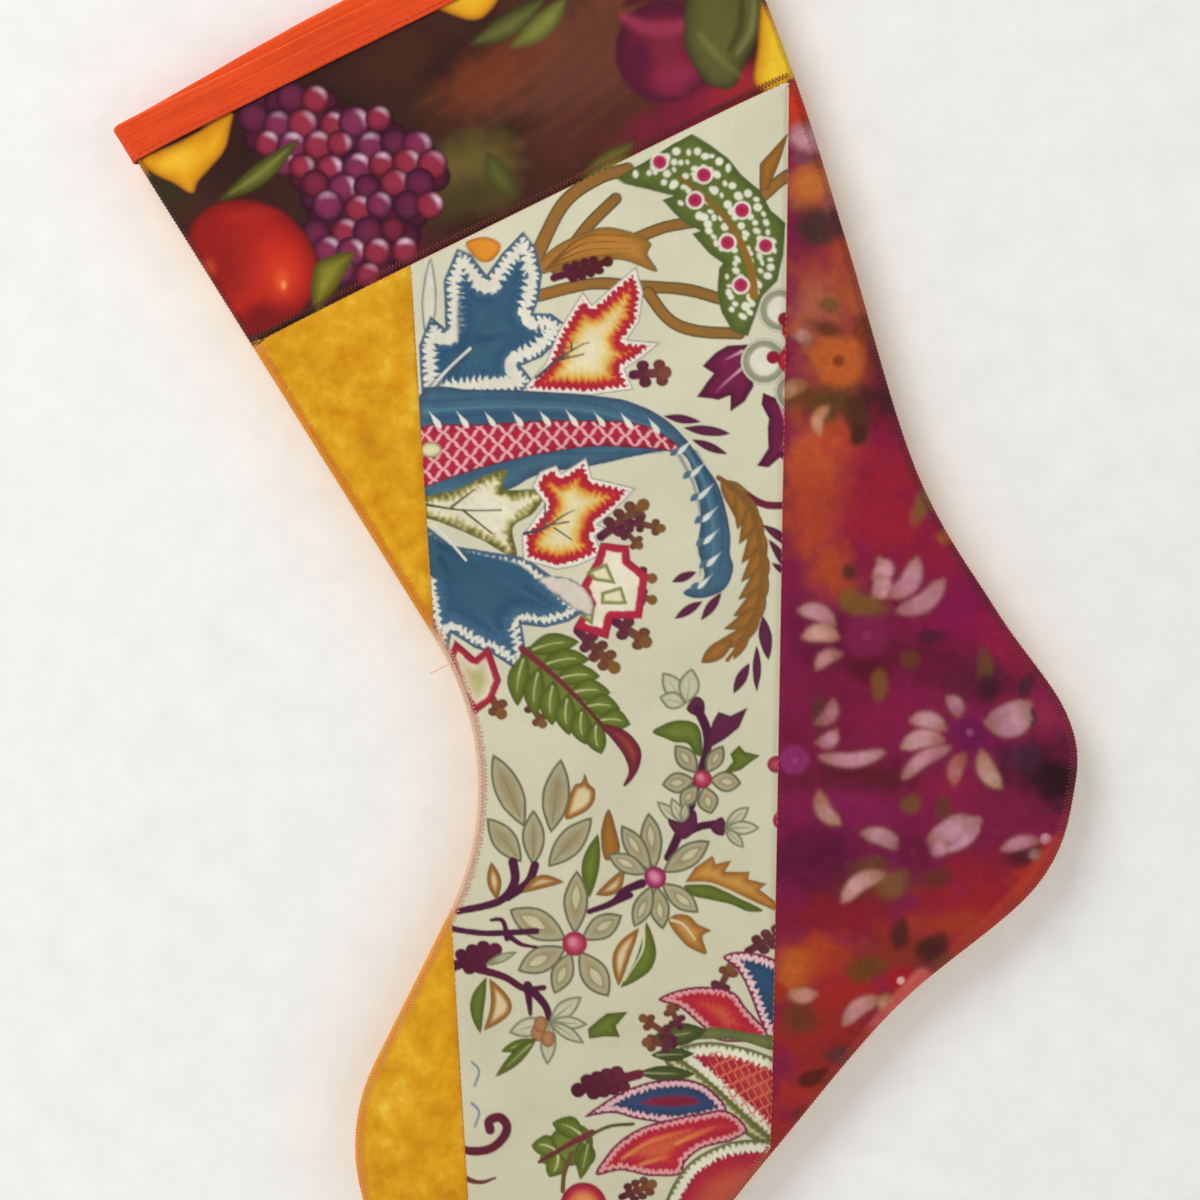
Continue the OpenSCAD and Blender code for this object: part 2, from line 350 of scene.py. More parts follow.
def new_mesh(name, verts, faces, smooth=True):
    me = bpy.data.meshes.new(name)
    me.from_pydata([], [], [])
    verts = np.asarray(verts, np.float32)
    me.vertices.add(len(verts))
    me.vertices.foreach_set("co", verts.ravel())
    loops = np.concatenate([np.asarray(f, np.int32).ravel() for f in faces])
    sizes = np.concatenate([np.full(len(f), np.shape(f)[1], np.int32) for f in faces])
    me.loops.add(len(loops))
    me.loops.foreach_set("vertex_index", loops)
    me.polygons.add(len(sizes))
    me.polygons.foreach_set("loop_start", np.concatenate([[0], np.cumsum(sizes)[:-1]]).astype(np.int32))
    me.update(calc_edges=True)
    me.polygons.foreach_set("use_smooth", np.full(len(sizes), smooth))
    me.validate()
    ob = bpy.data.objects.new(name, me)
    bpy.context.collection.objects.link(ob)
    return ob


def set_uv(ob, uv):
    """Cloth coordinates in millimetres for each vertex, which the weave follows."""
    me = ob.data
    layer_uv = me.uv_layers.new(name="cloth")
    index = np.empty(len(me.loops), np.int32)
    me.loops.foreach_get("vertex_index", index)
    layer_uv.data.foreach_set("uv", np.asarray(uv, np.float32)[index].ravel())


def set_paint(ob, rgb, name="paint"):
    """A printed colour for each vertex."""
    me = ob.data
    att = me.color_attributes.new(name, "FLOAT_COLOR", "POINT")
    rgba = np.ones((len(me.vertices), 4), np.float32)
    rgba[:, :3] = rgb
    att.data.foreach_set("color", rgba.ravel())


def ruled_grid(poly, angle, step, k=8):
    """Rows of points that fill a polygon, each row running from edge to edge, k cells to a block."""
    c, s_ = math.cos(angle), math.sin(angle)
    turn = np.array([[c, -s_], [s_, c]])
    p = poly @ turn

    def sides(levels):
        left, right = np.full(len(levels), np.inf), np.full(len(levels), -np.inf)
        for a, b in zip(p, np.roll(p, -1, axis=0)):
            if abs(a[1] - b[1]) < 1e-9:
                continue
            f = (levels - a[1]) / (b[1] - a[1])
            x = a[0] + f * (b[0] - a[0])
            hit = (f >= -1e-9) & (f <= 1 + 1e-9)
            left[hit], right[hit] = np.minimum(left, x)[hit], np.maximum(right, x)[hit]
        return left, right

    levels = np.linspace(p[:, 1].min() + 1e-3, p[:, 1].max() - 1e-3, 900)
    left, right = sides(levels)
    wide = levels[right - left > 0.05]
    lo, hi = wide.min(), wide.max()
    rows = int(math.ceil((hi - lo) / step / k)) * k + 1
    levels = np.linspace(lo, hi, rows)
    left, right = sides(levels)
    cols = int(math.ceil((right - left).max() / step / k)) * k + 1
    f = np.linspace(0, 1, cols)
    x = left[:, None] * (1 - f) + right[:, None] * f
    y = np.repeat(levels[:, None], cols, axis=1)
    flat = np.stack([x.ravel(), y.ravel()], 1) @ turn.T
    return flat[:, 0].reshape(rows, cols), flat[:, 1].reshape(rows, cols)


# How far the raw edges at the mouth stop below the top of the binding that covers them
RAW_EDGE_DEPTH = 1.4


def cloth(name, poly, angle, step, side, which, k=8):
    """A thin closed piece of cloth: a fine face, a coarse back k times wider, and the turned edge."""
    s, t = ruled_grid(poly, angle, step, k)
    rows, cols = s.shape
    near, far = layer(s, t, side, which)
    tucked = RAW_EDGE_DEPTH * np.clip(1 - t / 8, 0, 1)
    rise = t - mouth_rise(s, t, side) + tucked
    fine = place(s, rise, far).reshape(-1, 3)
    cs, ct = s[::k, ::k], t[::k, ::k]
    coarse = place(cs, rise[::k, ::k], near[::k, ::k]).reshape(-1, 3)
    r2, c2 = cs.shape
    ids = np.arange(rows * cols).reshape(rows, cols)
    back = rows * cols + np.arange(r2 * c2).reshape(r2, c2)

    def quads(g):
        return np.stack([g[:-1, :-1], g[:-1, 1:], g[1:, 1:], g[1:, :-1]], -1).reshape(-1, 4)

    def rim(f, b):
        fans = np.stack([f[i:i + len(f) - k:k] for i in range(k + 1)], 1)
        return np.hstack([fans, b[1:, None], b[:-1, None]])

    rims = np.vstack([rim(ids[0, ::-1], back[0, ::-1]), rim(ids[-1], back[-1]),
                      rim(ids[:, 0], back[:, 0]), rim(ids[::-1, -1], back[::-1, -1])])
    faces = [quads(ids), quads(back)[:, ::-1], rims]
    if side > 0:
        faces = [f[:, ::-1] for f in faces]
    ob = new_mesh(name, np.vstack([fine, coarse]), faces)
    uv = np.vstack([np.stack([s.ravel(), t.ravel()], 1), np.stack([cs.ravel(), ct.ravel()], 1)])
    set_uv(ob, uv)
    return ob, uv


def resample(p, step):
    """Points every step along a polyline, with their distances along it."""
    run = np.concatenate([[0], np.cumsum(np.linalg.norm(np.diff(p, axis=0), axis=1))])
    n = max(2, int(round(run[-1] / step)) + 1)
    u = np.linspace(0, run[-1], n)
    return np.stack([np.interp(u, run, p[:, i]) for i in range(p.shape[1])], 1), u


class Edge:
    """The sewn edge by its length from the mouth's toe-side corner, with smoothed inward normals."""

    def __init__(self):
        self.p, self.u = resample(BOOT, 1.0)
        tangent = np.gradient(self.p, axis=0)
        kernel = np.ones(7) / 7
        for i in range(2):
            padded_t = np.pad(tangent[:, i], 3, mode="edge")
            tangent[:, i] = np.convolve(padded_t, kernel, mode="valid")
        tangent /= np.linalg.norm(tangent, axis=1)[:, None]
        self.normal = np.stack([tangent[:, 1], -tangent[:, 0]], 1)
        middle = BOOT.mean(axis=0)
        if ((middle - self.p[40]) @ self.normal[40]) < 0:
            self.normal = -self.normal
        self.length = self.u[-1]

    def at(self, u, d):
        """(s, t) at length u along the edge and d inside it."""
        p = np.stack([np.interp(u, self.u, self.p[:, i]) for i in range(2)], -1)
        n = np.stack([np.interp(u, self.u, self.normal[:, i]) for i in range(2)], -1)
        return p + n * np.asarray(d)[..., None]


EDGE = Edge()


def surface(s, t, side, lift=0.0):
    """World points on the outside of a wall, lifted off it."""
    return place(s, t - mouth_rise(s, t, side), side * (wall(s, t, side)[1] + lift))


def threads(name, paths, radius, ref, sides=5, thin=0.45):
    """Short stitches, one tube for each row of points. ref is a direction none of them runs along."""
    paths = np.asarray(paths, float)
    n, m, _ = paths.shape
    tangent = np.gradient(paths, axis=1)
    tangent /= np.linalg.norm(tangent, axis=2)[..., None] + 1e-12
    ref = np.broadcast_to(np.asarray(ref, float).reshape(-1, 1, 3), paths.shape)
    u = np.cross(tangent, ref)
    u /= np.linalg.norm(u, axis=2)[..., None] + 1e-12
    v = np.cross(tangent, u)
    taper = np.ones(m)
    taper[0] = taper[-1] = thin
    a = np.linspace(0, 2 * math.pi, sides, endpoint=False)
    ring = np.cos(a)[:, None] * u[:, :, None] + np.sin(a)[:, None] * v[:, :, None]
    verts = paths[:, :, None] + ring * (radius * MM * taper)[None, :, None, None]
    ids = np.arange(n * m * sides).reshape(n, m, sides)
    nxt = np.roll(ids, -1, axis=2)
    body = np.stack([ids[:, :-1], nxt[:, :-1], nxt[:, 1:], ids[:, 1:]], -1).reshape(-1, 4)
    return new_mesh(name, verts.reshape(-1, 3), [body, ids[:, 0, ::-1], ids[:, -1]]), (n, m, sides)


def sweep(name, sections, closed=True, wrap=True):
    """A skin over a row of sections. wrap joins each section's ends, closed joins the last to the first."""
    n, m, _ = sections.shape
    ids = np.arange(n * m).reshape(n, m)
    a, b = (ids, np.roll(ids, -1, 0)) if closed else (ids[:-1], ids[1:])
    if wrap:
        a2, b2 = np.roll(a, -1, 1), np.roll(b, -1, 1)
    else:
        a, b, a2, b2 = a[:, :-1], b[:, :-1], a[:, 1:], b[:, 1:]
    faces = [np.stack([a, b, b2, a2], -1).reshape(-1, 4)]
    if wrap and not closed:
        faces += [ids[0][None, :], ids[-1][None, ::-1]]
    return new_mesh(name, sections.reshape(-1, 3), faces)


# ---------------------------------------------------------------- the walls

LOFT_MAP = Loft()
WORLD_ROWS = TILT
front = {}
for key, step, k in (("cuff", 0.4, 8), ("wedge", 1.0, 4), ("toe", 1.0, 4),
                     ("floral", 0.4, 8), ("batik", 0.4, 8)):
    angle = 0.0 if key == "cuff" else WORLD_ROWS
    front[key] = cloth(f"front_{key}_cloth", CUTS[key], angle, step, -1, "shell", k)
back_cloth = cloth("back_cloth", BOOT, WORLD_ROWS, 1.2, 1, "shell", 4)
linings = {side: cloth(f"{word}_lining_cloth", BOOT, WORLD_ROWS, 2.0, side, "lining", 2)
           for side, word in ((-1, "front"), (1, "back"))}
INSET = np.array([EDGE.at(u, 1.2) for u in np.linspace(0.5, EDGE.length - 0.5, 260)])
INSET = np.vstack([(2.2, 3.0), INSET[INSET[:, 1] > 3.0], (221.5, 3.0)])
battings = {side: cloth(f"{word}_batting_pad", INSET, WORLD_ROWS, 3.0, side, "batting", 1)
            for side, word in ((-1, "front"), (1, "back"))}


def binding():
    """One doubled strip all round the mouth, over the raw edges of both walls."""
    half = MOUTH_WALL / 2 + 0.18
    h = BINDING_H
    outer = [(half + 0.02, 0.15), (half + 0.42, 0.05), (half + 0.62, 0.5), (half + 0.52, 1.1),
             (half + 0.42, 3.0), (half + 0.40, 6.5), (half + 0.40, 9.5), (half + 0.44, 11.2)]
    r = half + 0.40
    over = [(r * math.cos(a), h - 1.1 + 1.1 * math.sin(a)) for a in np.linspace(0.15, math.pi - 0.15, 11)]
    outside = np.array(outer + over + [(-x, y) for x, y in outer[::-1]])
    inside = outside[::-1].copy()
    inside[:, 0] *= (half + 0.03) / (half + 0.42)
    inside[:, 1] = np.minimum(inside[:, 1], h - 0.45)
    inside = inside[1:-1]
    profile = np.vstack([outside, inside])
    n = 150
    run = np.linspace(2.3, MOUTH_W - 0.4, n)
    turn = np.linspace(0, math.pi, 9)[1:-1]
    rows = []
    for s in run:
        rows.append((s, -mouth_mid(s, -1), 0.0, -1.0, -1))
    for a in turn:
        rows.append((MOUTH_W - 0.4 + 1.7 * math.sin(a), -1.7 * math.cos(a), math.sin(a), -math.cos(a), 0))
    for s in run[::-1]:
        rows.append((s, mouth_mid(s, 1), 0.0, 1.0, 1))
    for a in turn:
        rows.append((2.3 - 1.7 * math.sin(a), 1.7 * math.cos(a), -math.sin(a), math.cos(a), 0))
    rows = np.array(rows)
    wave = wobble(np.arange(len(rows)) * 1.5, np.zeros(len(rows)), 11, 14)
    sections = []
    uv = []
    for i, (s, y, ns, ny, side) in enumerate(rows):
        off = profile[:, 0].copy()
        if side == 0:
            off = np.maximum(off, -1.55)
        rise = profile[:, 1] * (1 + 0.12 * math.exp(-(s / 30) ** 2)) + 0.12 * wave[i]
        t = BINDING_H - rise
        front_lift = mouth_rise(np.array([s]), np.array([0.0]), -1 if side <= 0 else 1)[0]
        share = np.clip(s / MOUTH_W, 0, 1)
        ss = s + ns * off + t * (math.tan(math.radians(EDGE_LEAN)) * (1 - share) - 0.087 * share)
        yy = y + ny * off
        sections.append(place(ss, t - front_lift * np.clip(rise / BINDING_H, 0.85, 1), yy))
        uv.append(np.stack([np.full(len(off), i * 1.5), np.cumsum(np.abs(np.gradient(profile[:, 1])))], 1))
    ob = sweep("mouth_binding", np.array(sections))
    set_uv(ob, np.vstack(uv))
    return ob, len(profile)


mouth_binding, BIND_M = binding()


# ---------------------------------------------------------------- stitching

SEAMS = {"wedge": WEDGE_SEAM, "batik": BATIK_SEAM}


def edge_u(s, t):
    """Length along the sewn edge of its nearest point to (s, t)."""
    return EDGE.u[np.argmin(np.hypot(EDGE.p[:, 0] - s, EDGE.p[:, 1] - t))]


def edge_crossings(seam):
    """Lengths along the edge where a seam's line crosses it below the cuff."""
    along = unit(90 + seam[1])
    side = (EDGE.p - (seam[0], CUFF_H)) @ np.array([along[1], -along[0]])
    hit = np.nonzero((side[:-1] * side[1:] < 0) & (EDGE.p[1:, 1] > CUFF_H + 5))[0]
    return EDGE.u[hit]


U_CUFF = edge_u(1, CUFF_H)
U_ANKLE0, U_ANKLE1 = edge_crossings(WEDGE_SEAM)[:2]
U_CREAM1 = edge_crossings(WEDGE_SEAM)[-1]
U_BATIK = edge_crossings(BATIK_SEAM)[-1]
U_HEEL = edge_u(203, 322)
U_CUFF2 = edge_u(MOUTH_W - 6.5, CUFF_H)


def hex_rgb(*codes):
    """Linear colours for sRGB hex codes."""
    c = np.array([[int(h[i:i + 2], 16) for i in (0, 2, 4)] for h in codes]) / 255
    c = np.where(c <= 0.04045, c / 12.92, ((c + 0.055) / 1.055) ** 2.4)
    return c if len(codes) > 1 else c[0]


EDGE_PAINTED = []
RIM_DEPTH = np.array([-1.08, -1.1, -1.05, -0.8, -0.42, 0, 0.42, 0.8, 1.05, 1.1, 1.08,
                      0.62, 0.62, 0.4, 0, -0.4, -0.62, -0.62])


def edge_rim():
    """The turned edge of the cloth, where the front and the back meet."""
    u = np.linspace(BINDING_H * 0.4, EDGE.length - BINDING_H * 0.4, 900)
    d = np.array([0.9, 0.5, 0.15, -0.25, -0.55, -0.68, -0.55, -0.25, 0.15, 0.5, 0.9,
                  0.9, 0.4, 0.0, -0.2, 0.0, 0.4, 0.9])
    rows = []
    for a, b in zip(d, RIM_DEPTH):
        p = EDGE.at(u, np.full(len(u), a))
        half = wall(p[:, 0], p[:, 1], -1)[1] if b < 0 else wall(p[:, 0], p[:, 1], 1)[1]
        rows.append(place(p[:, 0], p[:, 1], b * half))
    sections = np.stack(rows, 1)
    ob = sweep("edge_rim_cloth", sections, closed=False)
    set_uv(ob, np.stack([np.repeat(u, len(d)), np.tile(np.cumsum(np.full(len(d), 0.5)), len(u))], 1))
    EDGE_PAINTED.append((ob, u, len(d), False))
    return ob


edge_rim_cloth = edge_rim()


def overcast():
    """A zigzag over the sewn edge, from front to back and round again."""
    pitch = 1.25
    u0 = np.arange(BINDING_H + 1.5, EDGE.length - BINDING_H - 2, pitch)
    rng = np.random.default_rng(5)
    reach = np.where((u0 < U_CUFF - 1) | (u0 > U_CUFF2 + 1), 1.1, 2.6)
    depth_in = reach + rng.normal(0, 0.14, len(u0))
    jitter = rng.normal(0, 0.12, len(u0))
    steps = np.array([0.0, 0.25, 0.5, 0.75, 0.92, 1.0, 1.08, 1.25, 1.5, 1.75, 2.0])
    paths = []
    for f in steps:
        inside = np.where(f < 1, 1 - f, f - 1)
        d = depth_in * inside - 0.84 * (1 - inside) ** 6
        p = EDGE.at(u0 + jitter + f * pitch * 0.62, d)
        s, t = p[:, 0], p[:, 1]
        if f < 0.9:
            pos = surface(s, t, -1, 0.10)
        elif f > 1.1:
            pos = surface(s, t, 1, 0.10)
        else:
            pos = place(s, t, np.full(len(s), (f - 1) / 0.1 * 0.95))
        paths.append(pos)
    a = np.stack(paths, 1)
    paths = []
    for f in steps[:5]:
        d = depth_in * (1 - f) - 0.8 * f ** 6
        p = EDGE.at(u0 + jitter - f * pitch * 0.5, d)
        paths.append(surface(p[:, 0], p[:, 1], -1, 0.12))
    b = np.stack(paths, 1)
    ref = EDGE.at(u0 + 1, np.zeros(len(u0))) - EDGE.at(u0 - 1, np.zeros(len(u0)))
    ref3 = place(ref[:, 0], ref[:, 1], np.zeros(len(u0))) - place(np.zeros(1), np.zeros(1), 0.0)
    ob, (_, m, k) = threads("edge_overcast_thread", a, 0.16, ref3, 5)
    EDGE_PAINTED.append((ob, u0, m * k, True))
    ob2, (_, m, k) = threads("edge_zigzag_thread", b, 0.14, (0, 1, 0), 5)
    EDGE_PAINTED.append((ob2, u0, m * k, True))
    return ob, ob2


edge_threads = overcast()


def stray_thread():
    """The loose end of the edge's thread, where the zigzag was finished off at the ankle."""
    u = U_ANKLE0 + 12
    p = EDGE.at(np.array([u, u, u, u, u, u]), np.array([2.5, 1.2, -0.6, -2.2, -3.9, -5.2]))
    p[:, 0] += np.array([0, 0.3, 0.2, -0.4, -1.5, -2.9])
    y = np.array([-2.6, -2.2, -1.7, -1.7, -2.1, -2.8])
    path = curve(np.column_stack([p, y]), 6)
    pos = place(path[:, 0], path[:, 1], path[:, 2])
    ob, (_, m, k) = threads("edge_thread_end", pos[None], 0.14, (0, 1, 0), 6, thin=0.8)
    EDGE_PAINTED.append((ob, np.array([u]), m * k, True))
    return ob


edge_thread_end = stray_thread()


def cuff_zigzag():
    """A narrow zigzag along the cuff's lower seam."""
    pitch = 1.3
    s0 = np.arange(CUFF_H * math.tan(math.radians(EDGE_LEAN)) + 1.8, MOUTH_W - 8.4, pitch)
    n = len(s0)
    legs = []
    for start, height, rise in ((0, 0.9, -1.9), (pitch / 2, 2.8, 1.9)):
        paths = []
        for f in np.linspace(0, 1, 5):
            s = s0 + start + f * pitch / 2
            t = CUFF_H - height + rise * f + np.zeros(n)
            paths.append(surface(s, t, -1, 0.06 + 0.12 * math.sin(math.pi * f)))
        legs.append(np.stack(paths, 1))
    both = np.concatenate(legs)
    ob, (_, m, k) = threads("cuff_zigzag_thread", both, 0.14, (0, 1, 0), 5)
    mix = 0.5 + 0.5 * wobble(np.concatenate([s0, s0]), np.zeros(2 * n), 21, 22)[:, None]
    rgb = hex_rgb("5a1a16") * (1 - mix) + hex_rgb("8a3222") * mix
    set_paint(ob, np.repeat(rgb, m * k, axis=0))
    return ob


cuff_zigzag_thread = cuff_zigzag()


def seam_threads():
    """Small straight stitches sunk in the patchwork seams."""
    paths = []
    lift = np.array([-0.15, 0.05, 0.1, 0.05, -0.15])
    for s0, angle in SEAMS.values():
        along = unit(90 + angle)
        for r in np.arange(2.0, 420.0, 2.3):
            a = np.array([s0, CUFF_H]) + along * r
            b = a + along * 1.6
            inside = edge_distance(*b) > 2.5 and inside_boot(b)
            if inside:
                q = np.linspace(a, b, 5)
                paths.append(surface(q[:, 0], q[:, 1], -1, lift))
    for s0 in np.arange(11.0, MOUTH_W - 9.5, 2.3):
        q = np.stack([np.linspace(s0, s0 + 1.6, 5), np.full(5, CUFF_H)], 1)
        paths.append(surface(q[:, 0], q[:, 1], -1, lift))
    return threads("seam_stitch_thread", paths, 0.13, (0, 1, 0), 5)[0]


seam_stitch_thread = seam_threads()


def binding_row():
    """Fine topstitching along the binding's lower edge, on both walls."""
    paths = []
    sink = np.array([-0.2, 0.0, 0.03, 0.0, -0.2])
    for side in (-1, 1):
        for s0 in np.arange(3.0, MOUTH_W - 3, 2.6):
            s = np.linspace(s0, s0 + 1.9, 5)
            rise = mouth_rise(s, np.zeros(5), side)
            y = side * (mouth_mid(s, side) + MOUTH_WALL / 2 + 0.18 + 0.62 + sink)
            paths.append(place(s, BINDING_H - 1.7 - 0.88 * rise, y))
    return threads("binding_stitch_thread", paths, 0.13, (0, 1, 0), 5)[0]


binding_stitch_thread = binding_row()

# ---------------------------------------------------------------- the hanging loop

LEG_X, TAPE_W, TAPE_T = 6.6, 12.0, 1.2


def tape_path():
    """Centre, width direction and face direction of the tape, from one tail over the hook to the other."""
    leg = []
    for z in np.linspace(-61.5, -0.4, 124):
        turn = float(smoothstep(-34, -15, z)) * math.pi / 2
        sag = 0.5 * math.sin(math.pi * np.clip((z + 34) / 34, 0, 1))
        depth = 1.7 if z < -34 else 1.7 * float(smoothstep(0, -34, z))
        leg.append((LEG_X + sag, depth, z, turn))
    crown = []
    for a in np.linspace(0, math.pi / 2, 24)[1:]:
        crown.append((LEG_X * math.cos(a), 0.0, LEG_X * math.sin(a), a))
    return np.array(leg), np.array(crown)


def ribbon(name, frames):
    """A thin tape with soft edges through frames of (centre, width direction, face direction)."""
    half = TAPE_W / 2
    prof = [(-half, -0.25), (-half + 0.5, -0.46), (-half + 1.4, -0.5), (-2.0, -0.38), (2.0, -0.38),
            (half - 1.4, -0.5), (half - 0.5, -0.46), (half, -0.25),
            (half, 0.25), (half - 0.5, 0.46), (half - 1.4, 0.5), (2.0, 0.38), (-2.0, 0.38),
            (-half + 1.4, 0.5), (-half + 0.5, 0.46), (-half, 0.25)]
    prof = np.array(prof) * (1, TAPE_T)
    sections = [c + prof[:, :1] * w + prof[:, 1:] * f for c, w, f in frames]
    ob = sweep(name, np.array(sections) * MM, closed=False)
    uv = [np.stack([prof[:, 0] + 6, np.full(len(prof), i * 0.5)], 1) for i in range(len(frames))]
    set_uv(ob, np.vstack(uv))
    return ob


def leg_frame(x, y, z, turn, side):
    width = np.array([side * math.cos(turn), -math.sin(turn), 0.0])
    face = np.array([math.sin(turn), side * math.cos(turn), 0.0])
    return np.array([side * x, y, z]), width, face * (1 if side > 0 else -1)


def build_loop():
    leg, crown = tape_path()
    upper = [leg_frame(x, y, z, t, -1) for x, y, z, t in leg if z >= -20]
    for x, _, z, a in crown:
        upper.append((np.array([-x, 0, z]), np.array([0, -1.0, 0]),
                      np.array([-math.cos(a), 0, math.sin(a)])))
    for x, _, z, a in crown[-2::-1]:
        upper.append((np.array([x, 0, z]), np.array([0, -1.0, 0]), np.array([math.cos(a), 0, math.sin(a)])))
    right = [leg_frame(x, y, z, t, 1) for x, y, z, t in leg if z >= -20][::-1]
    upper += [(c, w, f) for c, w, f in right]
    frames = []
    for c, w, f in upper:
        if frames and np.dot(w, frames[-1][1]) < 0:
            w = -w
        if frames and np.dot(f, frames[-1][2]) < 0:
            f = -f
        frames.append((c, w, f))
    top = ribbon("tape_over_hook", frames)
    lowers = []
    for side, word in ((-1, "toe"), (1, "heel")):
        frames = []
        for c, w, f in [leg_frame(x, y, z, t, side) for x, y, z, t in leg if z <= -19.6]:
            if frames and np.dot(w, frames[-1][1]) < 0:
                w = -w
            if frames and np.dot(f, frames[-1][2]) < 0:
                f = -f
            frames.append((c, w, f))
        lowers.append(ribbon(f"tape_{word}_side_tail", frames))
    return top, lowers


tape_top, tape_tails = build_loop()


def tack_box():
    """A sewn box and cross through both tails, which holds the loop to the back's binding."""
    paths = []
    for cx in (-LEG_X, LEG_X):
        x0, x1, z0, z1 = cx - 4.2, cx + 4.2, -59.5, -50.0
        for a, b in (((x0, z0), (x1, z0)), ((x1, z0), (x1, z1)), ((x1, z1), (x0, z1)),
                     ((x0, z1), (x0, z0)), ((x0, z0), (x1, z1)), ((x1, z0), (x0, z1))):
            a, b = np.array(a), np.array(b)
            count = max(2, int(np.linalg.norm(b - a) / 1.9))
            for i in range(count):
                q = np.linspace(a + (b - a) * (i + 0.1) / count, a + (b - a) * (i + 0.9) / count, 5)
                y = 1.7 - TAPE_T / 2 - np.array([-0.15, 0.08, 0.12, 0.08, -0.15])
                paths.append(np.stack([q[:, 0], y, q[:, 1]], 1) * MM)
    return threads("tack_stitch_thread", paths, 0.15, (0, 1, 0), 5)[0]


tack_stitch_thread = tack_box()

# ---------------------------------------------------------------- prints

# Motifs are drawn on flat plans, upright as the stocking hangs: x to the right, y down, in
# millimetres from each cloth's own corner.
ORIGIN = {"cuff": (0.0, 0.0), "floral": (101.7, 48.3), "batik": (232.6, -13.6)}


def plan_xy(s, t, key):
    ox, oy = ORIGIN[key]
    x = (s - 1) * math.cos(TILT) + t * math.sin(TILT) - ox
    y = t * math.cos(TILT) - (s - 1) * math.sin(TILT) - oy
    return x, y


def value_noise(shape, cell, rng):
    """Smooth noise in -1..1 over an array, with features about cell samples across."""
    ny, nx = int(shape[0] / cell) + 3, int(shape[1] / cell) + 3
    g = rng.uniform(-1, 1, (ny, nx))
    y = np.linspace(0, ny - 2.001, shape[0])
    x = np.linspace(0, nx - 2.001, shape[1])
    iy, ix = y.astype(int), x.astype(int)
    fy, fx = (y - iy)[:, None], (x - ix)[None, :]
    fy, fx = fy * fy * (3 - 2 * fy), fx * fx * (3 - 2 * fx)
    a, b = g[iy][:, ix], g[iy][:, ix + 1]
    c, d = g[iy + 1][:, ix], g[iy + 1][:, ix + 1]
    return a * (1 - fx) * (1 - fy) + b * fx * (1 - fy) + c * (1 - fx) * fy + d * fx * fy


def nearest(path, x, y):
    """Distance to a path, how far along it the nearest place is, and the path's length."""
    best, along, run = np.full(x.shape, 1e3), np.zeros(x.shape), 0.0
    for a, b in zip(path[:-1], path[1:]):
        dx, dy = b - a
        length = max(math.hypot(dx, dy), 1e-6)
        t = np.clip(((x - a[0]) * dx + (y - a[1]) * dy) / length ** 2, 0, 1)
        dist = np.hypot(x - a[0] - t * dx, y - a[1] - t * dy)
        closer = dist < best
        best[closer] = dist[closer]
        along[closer] = run + t[closer] * length
        run += length
    return best, along, run


def signed(poly, x, y):
    """Distance to a closed outline, positive inside it, and how far round the nearest place is."""
    best, along, _ = nearest(np.vstack([poly, poly[:1]]), x, y)
    inside = np.zeros(x.shape, bool)
    for a, b in zip(poly, np.roll(poly, -1, axis=0)):
        if a[1] != b[1]:
            cross = (a[1] > y) != (b[1] > y)
            inside ^= cross & (x < a[0] + (y - a[1]) / (b[1] - a[1]) * (b[0] - a[0]))
    return np.where(inside, best, -best), along


def tones(stops):
    """Distances and linear colours of a list of (distance, hex) pairs, or of one hex colour."""
    if isinstance(stops, str):
        stops = [(0, stops)]
    return np.array([d for d, _ in stops], float), hex_rgb(*[c for _, c in stops], "000000")[:-1]


def towards(c, deg, r):
    """The point r from c, at deg clockwise from the right."""
    return c[0] + r * math.cos(math.radians(deg)), c[1] + r * math.sin(math.radians(deg))


FEATHER_PITCH = 2.3


